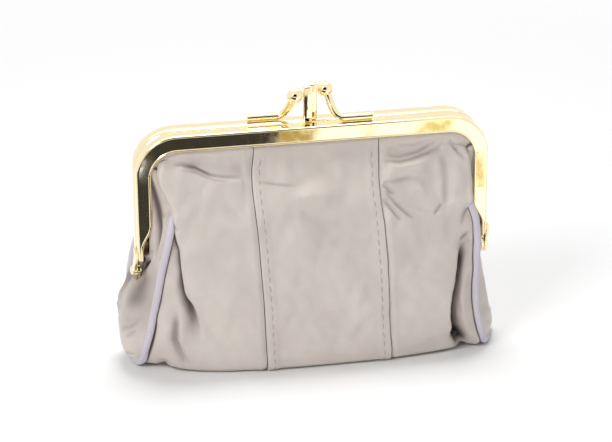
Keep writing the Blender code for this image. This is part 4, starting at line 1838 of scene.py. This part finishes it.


# The front's folds, measured in the photograph, first the two deep ones by the side seams. Each has
# its path, its height, its reach to the path's left and right, over how many mm it grows and fades,
# how far it leans to the left, and how much painted shade it adds to the leather's colour.
FRONT_FOLDS = (
    # left: the wide panel hangs over the strip beside the piping, with painted shade in the valley under it
    Fold(((-53.0, 59.6), (-51.4, 55.6), (-49.2, 49.4), (-48.8, 41.5), (-48.9, 34.2), (-48.0, 29.5),
         (-46.8, 23.0), (-45.6, 15.5), (-45.0, 11.0)), -5.0, 2.2, 0.9, 4.0, 15.0, 0.6, 1.05),
    Fold(((-53.0, 65.0), (-50.2, 57.5), (-47.6, 50.0), (-46.8, 40.0), (-46.2, 32.0), (-44.2, 22.0)),
         2.3, 2.0, 9.0, 9.0, 14.0, 3.6),
    Fold(((-52.6, 27.0), (-53.0, 20.0), (-53.6, 13.3), (-52.0, 8.2), (-48.4, 2.4)),
         -2.6, 1.3, 0.8, 9.0, 4.0, 0.0, 0.4),
    Fold(((-50.8, 24.0), (-50.6, 17.0), (-50.0, 12.0), (-47.0, 7.0)), 1.3, 1.2, 2.4, 6.0, 5.0, 0.8),
    Fold(((-57.5, 6.5), (-57.2, 2.0), (-57.0, 0.0)), -1.5, 1.6, 1.3, 4.0, 0.1),
    Fold(((-56.0, 44.0), (-56.6, 30.0), (-58.0, 16.0)), 0.7, 2.0, 2.2, 10.0, 8.0),
    # right: a deep valley, painted nearly black with shade, and the strip that bulges beyond it
    Fold(((56.5, 47.6), (55.0, 45.4), (53.8, 42.0), (52.2, 37.0), (50.2, 31.5), (48.6, 26.0),
         (47.9, 20.5), (48.2, 15.5), (49.8, 10.2), (52.0, 5.6), (54.6, 1.0)),
         -8.5, 1.5, 2.2, 16.0, 3.0, 0.0, 1.7),
    Fold(((50.8, 10.0), (52.6, 5.0), (54.6, 0.0)), -3.2, 1.6, 2.2, 5.0, 0.1, 0.0, 0.6),
    Fold(((51.4, 45.0), (49.2, 38.5), (46.8, 32.0), (44.9, 25.0), (45.0, 16.0), (48.0, 6.0)),
         2.0, 9.0, 2.6, 12.0, 6.0, -2.8),
    Fold(((55.0, 42.0), (53.8, 33.0), (52.8, 22.0), (54.4, 12.0), (57.2, 4.0)),
         2.2, 1.4, 3.4, 8.0, 4.0, 0.6),
    Fold(((57.4, 8.0), (59.0, 4.0), (59.8, 0.6)), 1.3, 1.6, 2.2, 3.0, 0.1),
    Fold(((52.0, 44.0), (54.2, 45.7), (56.6, 46.9)), -0.8, 0.5, 0.7, 1.5, 1.5),
    Fold(((52.2, 42.3), (54.4, 43.6), (56.4, 44.2)), 0.55, 0.8, 0.6, 1.5, 1.5),
    Fold(((52.6, 49.5), (54.3, 53.0), (56.0, 55.6)), -0.55, 0.6, 0.9, 2.0, 2.0),
    # the sags under the frame: shaded above their line and full below it
    Fold(((-52.6, 77.6), (-46.0, 75.0), (-39.5, 71.6), (-33.1, 70.3), (-25.0, 70.2)),
         1.9, 6.5, 1.9, 5.0, 3.0, -0.9),
    Fold(((-49.0, 79.4), (-42.0, 78.0), (-34.0, 76.4), (-25.0, 76.2)), -1.3, 2.4, 3.4, 4.0, 2.0),
    Fold(((-52.1, 79.9), (-49.9, 78.5), (-43.8, 76.1), (-39.1, 73.8), (-33.1, 72.7), (-26.0, 72.5)),
         -0.8, 0.45, 0.8, 3.0, 3.0),
    Fold(((-52.2, 78.5), (-48.3, 78.9), (-43.4, 76.6), (-37.1, 73.3)), -0.6, 0.45, 0.6, 2.0, 3.0),
    Fold(((-50.0, 76.6), (-43.0, 74.2), (-37.0, 71.3), (-31.0, 70.6)), -0.5, 0.4, 0.5, 2.0, 3.0),
    Fold(((25.2, 72.4), (31.1, 71.2), (37.0, 71.9), (43.4, 73.4), (48.0, 76.2)),
         1.7, 4.8, 1.7, 3.0, 4.0, -0.8),
    Fold(((26.0, 78.6), (34.0, 77.6), (42.0, 78.6), (47.0, 80.4)), -1.5, 2.2, 3.0, 3.0, 1.0),
    Fold(((24.6, 74.9), (31.1, 73.5), (36.4, 74.1), (42.6, 75.6), (46.5, 77.3), (48.7, 80.8)),
         -1.1, 0.5, 0.8, 2.0, 1.0),
    Fold(((26.3, 76.4), (31.3, 75.5), (38.8, 76.7), (45.9, 79.6)), -0.8, 0.45, 0.6, 2.0, 1.0),
    Fold(((30.0, 79.4), (37.0, 79.2), (45.0, 80.6)), -0.4, 0.5, 0.6, 3.0, 1.0),
    Fold(((50.4, 80.6), (52.3, 77.6), (54.6, 74.4), (56.8, 72.6)), -1.3, 0.7, 0.9, 1.0, 2.0),
    Fold(((51.6, 74.2), (53.0, 68.0), (53.2, 60.0)), 1.3, 3.5, 2.0, 5.0, 8.0),
    Fold(((47.6, 76.5), (48.6, 69.0), (48.0, 60.0), (45.5, 52.0)), -1.3, 1.4, 1.8, 5.0, 10.0),
    # fans of fine creases that start at the right panel seam
    Fold(((23.7, 67.2), (26.5, 64.7), (29.4, 62.1)), -0.9, 0.5, 0.7, 1.5, 2.5),
    Fold(((23.9, 62.1), (26.5, 58.4), (29.7, 54.4), (30.9, 52.6)), -1.0, 0.5, 0.8, 1.5, 3.0),
    Fold(((25.0, 65.0), (28.4, 60.2), (32.2, 56.4), (36.2, 53.7)), -0.8, 0.5, 0.7, 2.0, 4.0),
    Fold(((26.8, 63.4), (31.0, 60.2), (36.5, 57.0), (41.6, 55.6)), 0.7, 0.8, 0.8, 2.0, 4.0),
    Fold(((42.1, 54.4), (44.2, 56.0), (46.7, 58.7)), -0.8, 0.6, 0.7, 2.0, 2.0),
    Fold(((24.1, 67.2), (30.7, 67.6), (38.2, 67.8)), -0.75, 0.7, 0.6, 1.5, 5.0),
    Fold(((32.5, 64.5), (37.0, 63.6), (41.5, 64.4)), 1.2, 2.6, 2.2, 4.0, 4.0),
    Fold(((25.0, 58.0), (27.0, 50.0), (28.0, 42.0)), 0.35, 1.6, 1.6, 3.0, 8.0),
    # the middle panel: a crossing crease and two soft waves
    Fold(((-22.2, 71.0), (-15.0, 69.6), (-6.4, 68.4)), -0.45, 0.5, 0.5, 1.0, 5.0),
    Fold(((-19.0, 62.6), (-8.5, 64.8), (2.5, 64.6), (12.0, 66.0)), 1.5, 3.0, 3.4, 7.0, 9.0),
    Fold(((-9.0, 61.4), (-2.0, 58.6), (5.0, 55.4), (19.0, 53.1)), -1.3, 4.2, 3.0, 6.0, 8.0),
    Fold(((-4.0, 50.0), (-3.4, 38.0), (-5.0, 24.0)), -0.5, 4.5, 5.5, 12.0, 12.0),
    Fold(((11.0, 46.0), (12.5, 32.0), (11.0, 18.0)), 0.45, 5.0, 5.0, 12.0, 12.0),
    Fold(((-15.0, 48.0), (-14.0, 34.0), (-14.6, 20.0)), 0.4, 4.0, 4.0, 12.0, 12.0),
    # soft waves of the side panels
    Fold(((-36.0, 66.0), (-31.0, 59.0), (-26.0, 54.0)), -0.45, 2.2, 2.4, 6.0, 6.0),
    Fold(((-41.0, 60.0), (-38.0, 46.0), (-37.6, 30.0), (-38.6, 16.0)), 0.5, 5.0, 5.5, 12.0, 12.0),
    Fold(((-30.5, 42.0), (-30.0, 28.0), (-31.0, 14.0)), -0.35, 3.6, 3.6, 10.0, 10.0),
    Fold(((34.0, 48.0), (33.4, 34.0), (34.6, 20.0)), -0.4, 4.5, 4.5, 12.0, 12.0),
)
REAR_FOLDS = (
    Fold(((-53.0, 60.0), (-50.5, 50.0), (-49.8, 38.0), (-49.0, 26.0)), -1.8, 3.2, 2.0, 10.0, 12.0),
    Fold(((52.0, 56.0), (50.4, 44.0), (50.0, 30.0), (51.6, 16.0)), -2.2, 2.2, 3.0, 12.0, 9.0),
    Fold(((-51.0, 78.6), (-43.0, 75.4), (-34.0, 73.0), (-26.5, 73.4)), -0.6, 0.9, 1.2, 3.0, 3.0),
    Fold(((25.5, 74.0), (34.0, 73.6), (43.0, 76.0), (49.0, 79.4)), -0.6, 0.9, 1.1, 3.0, 2.0),
    Fold(((-50.0, 75.4), (-40.0, 71.6), (-28.0, 70.4)), 0.9, 5.0, 2.0, 6.0, 4.0),
    Fold(((27.0, 71.4), (38.0, 71.6), (47.0, 75.0)), 0.8, 4.5, 2.0, 5.0, 5.0),
    Fold(((-15.0, 63.0), (0.0, 65.0), (14.0, 62.6)), 0.7, 3.6, 3.6, 8.0, 8.0),
    Fold(((-12.0, 56.0), (2.0, 54.0), (15.0, 56.6)), -0.6, 3.6, 3.2, 7.0, 7.0),
    Fold(((3.0, 46.0), (2.0, 30.0), (4.0, 16.0)), 0.5, 5.0, 5.0, 12.0, 12.0),
    Fold(((-36.0, 58.0), (-37.5, 42.0), (-35.5, 24.0)), 0.5, 5.0, 5.0, 12.0, 12.0),
    Fold(((37.0, 60.0), (36.0, 44.0), (37.6, 26.0)), 0.5, 5.0, 5.0, 12.0, 12.0),
)
# The gussets' folds, in twentieths of the way from the seam and mm up; some add painted shade to the colour
LEFT_GUSSET_FOLDS = (
    Fold(((5.0, 64.0), (4.6, 56.0), (5.0, 48.0), (5.6, 38.0)), 1.3, 2.6, 3.2, 4.0, 9.0),
    Fold(((16.0, 76.0), (14.0, 68.0), (12.0, 61.0), (10.6, 54.0), (11.0, 44.0)),
         -2.0, 2.4, 2.0, 4.0, 6.0, 0.0, 1.15),
    Fold(((3.0, 60.6), (7.0, 59.6), (11.0, 60.6)), -0.4, 0.8, 0.7, 2.0, 3.0),
    Fold(((13.0, 46.0), (16.0, 43.6), (19.5, 41.6)), 1.6, 1.6, 1.3, 2.0, 0.5, 0.0, 0.9),
    Fold(((12.0, 42.6), (15.0, 40.0), (19.5, 37.6)), -1.4, 1.3, 1.1, 2.0, 0.5, 0.0, 1.0),
    Fold(((10.0, 40.0), (10.0, 32.0), (9.0, 23.0)), -1.5, 6.0, 7.0, 4.0, 7.0, 0.0, 0.5),
    # a fold almost without height that only paints shade onto the gusset under the hinge
    Fold(((9.0, 44.0), (9.0, 30.0), (9.0, 12.0)), -0.05, 12.0, 12.0, 5.0, 12.0, 0.0, 0.62),
    Fold(((3.0, 21.0), (8.0, 17.0), (14.0, 15.4), (18.0, 13.0)), -0.9, 0.8, 1.0, 3.0, 3.0),
    Fold(((2.0, 23.6), (7.0, 20.4), (12.0, 19.6)), 0.5, 0.8, 0.8, 2.0, 3.0),
    Fold(((4.0, 17.0), (8.0, 13.6), (11.0, 12.4)), -0.6, 0.6, 0.8, 2.0, 2.0),
    Fold(((3.0, 6.0), (8.0, 4.6), (13.0, 5.0)), -0.6, 0.9, 0.9, 2.0, 3.0),
)
RIGHT_GUSSET_FOLDS = (
    Fold(((6.0, 56.0), (6.0, 50.0), (5.6, 40.0)), 1.0, 3.0, 3.0, 8.0, 6.0),
    Fold(((12.0, 72.0), (11.6, 60.0), (12.0, 46.0), (12.6, 38.0)), -1.2, 3.4, 3.2, 4.0, 6.0),
    Fold(((13.0, 45.5), (16.0, 43.0), (19.5, 41.0)), 1.2, 1.4, 1.2, 2.0, 0.5),
    Fold(((3.0, 16.0), (8.0, 12.0), (14.0, 11.0)), 0.8, 1.8, 1.8, 3.0, 3.0),
    Fold(((3.0, 10.0), (8.0, 7.0), (14.0, 6.4)), -0.4, 0.9, 1.0, 3.0, 3.0),
)
# Each gusset: how far out it swells, its lobe, its outline under the hinge, and its folds
LEFT_GUSSET = (
    71.8,
    2.4,
    (
        (0.42, 0.93), (0.70, 0.82), (0.90, 0.68), (0.99, 0.50), (1.0, 0.36), (0.97, 0.22), (0.88, 0.12),
        (0.72, 0.05),
    ),
    LEFT_GUSSET_FOLDS,
)
RIGHT_GUSSET = (
    69.4,
    0.8,
    ((0.13, 0.92), (0.34, 0.78), (0.57, 0.56), (0.73, 0.39), (0.90, 0.25), (1.0, 0.14), (0.94, 0.05)),
    RIGHT_GUSSET_FOLDS,
)
# The slack of the front's outer panels over the side seams: height, and how far beyond the seam
LEFT_SLACK = (
    (53.0, 0.0), (57.2, 0.5), (59.3, 1.3), (61.7, 2.7), (64.6, 3.8), (68.7, 4.7), (71.6, 4.9),
    (74.0, 4.5), (76.6, 3.3), (79.2, 1.4), (81.0, 0.0),
)
RIGHT_SLACK = (
    (52.5, 0.0), (56.2, 1.2), (58.9, 3.5), (62.5, 5.2), (67.4, 5.3), (71.0, 4.4), (74.0, 3.4),
    (76.5, 1.8), (79.0, 0.0),
)
FRONT_LOBES = {Side.LEFT: Lobe(LEFT_SLACK), Side.RIGHT: Lobe(RIGHT_SLACK)}
# The seams between the panels, across and up
FRONT_SEAMS = (
    Seam(((-22.1, 84.0), (-22.4, 79.0), (-23.4, 74.0), (-23.7, 68.0), (-23.3, 60.0), (-22.8, 50.0),
         (-22.4, 40.0), (-21.9, 30.0), (-21.5, 20.0), (-21.1, 10.0), (-20.6, 1.4), (-20.6, 0.0))),
    Seam(((24.1, 84.0), (23.9, 79.0), (23.4, 73.0), (23.0, 66.5), (23.2, 60.6), (23.8, 54.0),
         (24.0, 47.5), (24.4, 40.0), (24.9, 25.2), (25.3, 12.0), (26.0, 3.8), (26.0, 0.0))),
)
REAR_SEAMS = (
    Seam(((-24.0, 84.0), (-23.4, 70.0), (-24.2, 50.0), (-24.6, 25.0), (-24.8, 0.0))),
    Seam(((24.2, 84.0), (23.6, 70.0), (24.0, 50.0), (24.8, 25.0), (24.6, 0.0))),
)


class Bag:
    """All the soft pieces: leather panels, gussets, piping, stitches and lining."""

    # two places, in metres, on the bag's middle, under and over the hinge
    zone = ((0.0, 0.0, 0.031), (0.0, 0.0, 0.064))
    panel_places = ("left", "centre", "right")
    gusset_columns = 44
    lining_columns = 20

    def __init__(self):
        """Sets up both halves' skins."""
        front = (FRONT_MIDDLE, FRONT_LEFT_SEAM, FRONT_RIGHT_SEAM, FRONT_FOLDS, FRONT_LOBES, FRONT_SEAMS)
        rear = (REAR_MIDDLE, REAR_LEFT_SEAM, REAR_RIGHT_SEAM, REAR_FOLDS, {}, REAR_SEAMS)
        self.skins = {Half.FRONT: Skin(Half.FRONT, *front), Half.REAR: Skin(Half.REAR, *rear)}

    def join(self, piece: Object, half: Half) -> None:
        """Bakes a soft piece's place into its mesh, and logs its faces.

        Args:
            piece: the piece.
            half: the half that it is held by; not used.
        """
        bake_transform(piece)
        LOG.info("%s: %d faces", piece.name, len(piece.data.polygons))

    def build(self, leather: Material, trim: Material, cloth: Material, thread: Material) -> None:
        """Makes every piece.

        Args:
            leather: the panels' and gussets' material.
            trim: the piping's.
            cloth: the lining's.
            thread: the stitches'.
        """
        under = SIZES.leather + SIZES.ply_gap
        for half, skin in self.skins.items():
            word = "front" if half is Half.FRONT else "back"
            panels = PanelSet(skin, word)
            for place in self.panel_places:
                self.join(panels.panel(place, leather), half)
            for index in (0, 1):
                self.join(panels.stitches(index, thread), half)
            self.join(Lining(skin, word).piece(cloth), half)
            for side in Side:
                end = side.name.lower()
                gusset = Gusset(skin, side, *(LEFT_GUSSET if side is Side.LEFT else RIGHT_GUSSET))
                plies = (
                    ("", 0.0, SIZES.leather, self.gusset_columns, leather, "leather"),
                    ("lining_", under, SIZES.lining, self.lining_columns, cloth, "lining_fabric"),
                )
                for ply, *sizes in plies:
                    names = (f"{ply}{end}_gusset_{half.word}", f"{ply}{end}_gusset")
                    self.join(gusset.piece(*names, *sizes), half)
                cord = Piping(skin, side).piece(f"{end}_piping_{half.word}", f"{end}_piping", trim)
                self.join(cord, half)


def main() -> None:
    """Builds the purse and its studio, and reports each piece."""
    logging.basicConfig(level=logging.INFO, format="%(message)s", stream=sys.stdout)
    gold = GoldPlate().build()
    leather = LambNappa().build()
    # the piping's leather, with its own colour for mottle and painted shade
    trim = LambNappa(name="piping_lamb_leather", colour="#D6CFDA", deep_colour="#B7AEBD").build()
    cloth = WovenCloth().build()
    paper = TwistedFibre("twisted_paper_cord", "#C9B48F", "#A08C68", 0.9).build()
    thread = TwistedFibre("polyester_sewing_thread", "#C2B9B4", "#9F9691", 0.5).build()
    sizes = FrameSizes()
    for half in Half:
        FrameHalf(half, sizes).build(gold)
        LockHalf(half, LockSizes(), sizes.top).build(gold)
    for name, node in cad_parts.items():
        for word, finish in (("rivet", gold), ("cord", paper)):
            if word in name:
                node.data.materials.clear()
                node.data.materials.append(finish)
    Bag().build(leather, trim, cloth, thread)
    Studio().build()


# Cards round the purse: name, four corners in mm, colour and glow
CARDS = (
    ("black_card", ((-420, -420, 3), (72, -420, 3), (-420, -106, 3), (1, -106, 3)), "#38383A", 0.0),
    ("gold_card_left", ((31, -239, 4), (50, -239, 4), (25, -208, 4), (40, -208, 4)), "#BDAA69", 1.0),
    ("gold_card_middle", ((71, -236, 4), (75, -236, 4), (63, -208, 4), (66, -208, 4)), "#FBFEEA", 1.0),
    ("gold_card_right", ((97, -230, 4), (111, -230, 4), (84, -209, 4), (102, -209, 4)), "#F0E8A5", 1.0),
    ("leg_card", ((107, -186, 4), (112, -186, 4), (98, -145, 4), (102, -145, 4)), "#F5E4B0", 1.0),
    ("corner_card", ((-37, -207, 5), (-35, -203, 5), (-43, -186, 5), (-41, -184, 5)), "#D8E1FE", 1.46),
    ("corner_gold_card", ((-35, -208, 5), (-31, -210, 5), (-38, -193, 5), (-34, -196, 5)), "#514E42", 1.0),
    (
        "camera_cloth",
        ((-420, -520, 120), (160, -520, 120), (-420, -520, 520), (160, -520, 520)),
        "#1E1B19",
        0.0,
    ),
    ("bounce_right", ((72, -420, 2), (620, -420, 2), (1, -106, 2), (620, -106, 2)), "#FFFFFF", 1.6),
    ("bounce_top", ((-500, 120, 700), (500, 120, 700), (-500, 620, 420), (500, 620, 420)), "#FFFFFF", 1.6),
)
# Soft lights: name, place and width in mm, and power in watts
LAMPS = (
    ("key", (-480, -460, 600), 300, 2.9),
    ("top", (60, 220, 880), 380, 5.4),
)


@dataclass(frozen=True)
class Studio:
    """The pale floor, the soft lights and the photograph's camera. Distances are in mm."""

    azimuth: float = -11.22
    elevation: float = 22.29
    roll: float = -0.26
    distance: float = 967.0
    target: tuple = (-1.92, 0.0, 49.95)
    lens: float = 154.8
    sensor: float = 36.0
    floor_size: float = 6000.0
    floor_colour: str = "#F4F4F4"
    floor_seen: float = 0.90
    # the floor turns white between these distances from the purse
    fade_start: float = 160.0
    fade_end: float = 500.0
    sky: float = 0.36
    backdrop: float = 1.0
    nearest: float = 20.0
    furthest: float = 20000.0
    lamp_aim: tuple = (0.0, 0.0, 45.0)

    def camera(self) -> None:
        """Places the camera where the photograph was taken from."""
        az, el, roll = (math.radians(v) for v in (self.azimuth, self.elevation, self.roll))
        back = Vector((math.sin(az) * math.cos(el), -math.cos(az) * math.cos(el), math.sin(el)))
        flat = Vector((math.cos(az), math.sin(az), 0))
        rise = back.cross(flat)
        across = flat * math.cos(roll) + rise * math.sin(roll)
        up = rise * math.cos(roll) - flat * math.sin(roll)
        place = (Vector(self.target) + back * self.distance) * MM
        deselect()
        bpy.ops.object.camera_add()
        lens = bpy.context.object
        lens.name = "camera"
        rows = [(across[i], up[i], back[i], place[i]) for i in range(3)]
        lens.matrix_world = Matrix([*rows, (0, 0, 0, 1)])
        lens.data.lens = self.lens
        lens.data.sensor_width = self.sensor
        lens.data.clip_start = self.nearest * MM
        lens.data.clip_end = self.furthest * MM
        bpy.context.scene.camera = lens

    @staticmethod
    def seen_directly(nodes: NodeSet) -> NodeSocket:
        """An output that is 1 for what the camera sees, straight, mirrored or through glass."""
        path = nodes.add("LightPath").outputs
        seen = path["Is Camera Ray"]
        for word in ("Is Glossy Ray", "Is Transmission Ray"):
            seen = nodes.maths("MAXIMUM", seen, path[word])
        return seen

    def floor(self) -> None:
        """A pale sweep that keeps the purse's shadow."""
        deselect()
        bpy.ops.mesh.primitive_plane_add(size=self.floor_size * MM)
        floor = bpy.context.object
        floor.name = "floor"
        made, nodes = fresh_material("painted_studio_floor")
        seen = self.seen_directly(nodes)
        pale = (self.floor_seen, self.floor_seen, self.floor_seen, 1.0)
        paint = nodes.mix(seen, linear(self.floor_colour), pale)
        lit = nodes.add("BsdfDiffuse", {"Color": paint}).outputs["BSDF"]
        far = nodes.add("VectorMath", {0: nodes.place()}, operation="LENGTH").outputs["Value"]
        share = nodes.spread(far, (self.fade_start * MM, self.fade_end * MM))
        fade = nodes.maths("MULTIPLY", share, seen)
        glow = nodes.add("Emission", {"Color": linear("#FFFFFF"), "Strength": 1.0}).outputs["Emission"]
        nodes.end(nodes.add("MixShader", {0: fade, 1: lit, 2: glow}).outputs["Shader"])
        floor.data.materials.append(made)

    def world(self) -> None:
        """White for the camera and for reflections, and a plain sky for the light."""
        world = bpy.data.worlds.new("studio")
        bpy.context.scene.world = world
        world.use_nodes = True
        nodes = NodeSet(world.node_tree)
        level = nodes.spread(self.seen_directly(nodes), (0.0, 1.0), (self.sky, self.backdrop))
        light = nodes.add("Background", {"Color": linear("#FFFFFF"), "Strength": level})
        nodes.end(light.outputs["Background"], "OutputWorld")

    def lamp(self, name: str, place: tuple, size: float, power: float) -> None:
        """A square soft light that faces the purse.

        Args:
            name: its name.
            place: its middle, in mm.
            size: its width in mm.
            power: its power in watts.
        """
        deselect()
        bpy.ops.object.light_add(type="AREA", location=Vector(place) * MM)
        lamp = bpy.context.object
        lamp.name = name
        lamp.data.size = size * MM
        lamp.data.energy = power
        aim = Vector(self.lamp_aim) - Vector(place)
        lamp.rotation_mode = "QUATERNION"
        lamp.rotation_quaternion = aim.to_track_quat("-Z", "Y")

    def card(self, name: str, corners: tuple, colour: str, glow: float) -> None:
        """A dull or a lit card that only mirrors show, as photographers use it to give metal edges.

        Args:
            name: its name.
            corners: its first two corners and its last two, in mm, in rows.
            colour: its sRGB colour.
            glow: the light that it sends out, 0 for a dull card.
        """
        deselect()
        bpy.ops.mesh.primitive_plane_add(size=1)
        card = bpy.context.object
        card.name = name
        card.data.vertices.foreach_set("co", [c * MM for corner in corners for c in corner])
        card.data.update()
        made, nodes = fresh_material(name)
        if glow:
            shader = nodes.add("Emission", {"Color": linear(colour), "Strength": glow})
        else:
            shader = nodes.add("BsdfDiffuse", {"Color": linear(colour)})
        nodes.end(shader.outputs[0])
        card.data.materials.append(made)
        card.visible_camera = False
        card.visible_diffuse = False
        card.visible_shadow = False
        card.visible_transmission = False

    def build(self) -> None:
        """Sets up the whole studio."""
        bpy.context.scene.view_settings.view_transform = "Standard"
        self.camera()
        self.floor()
        self.world()
        for card in CARDS:
            self.card(*card)
        for lamp in LAMPS:
            self.lamp(*lamp)


if __name__ == "__main__":
    main()
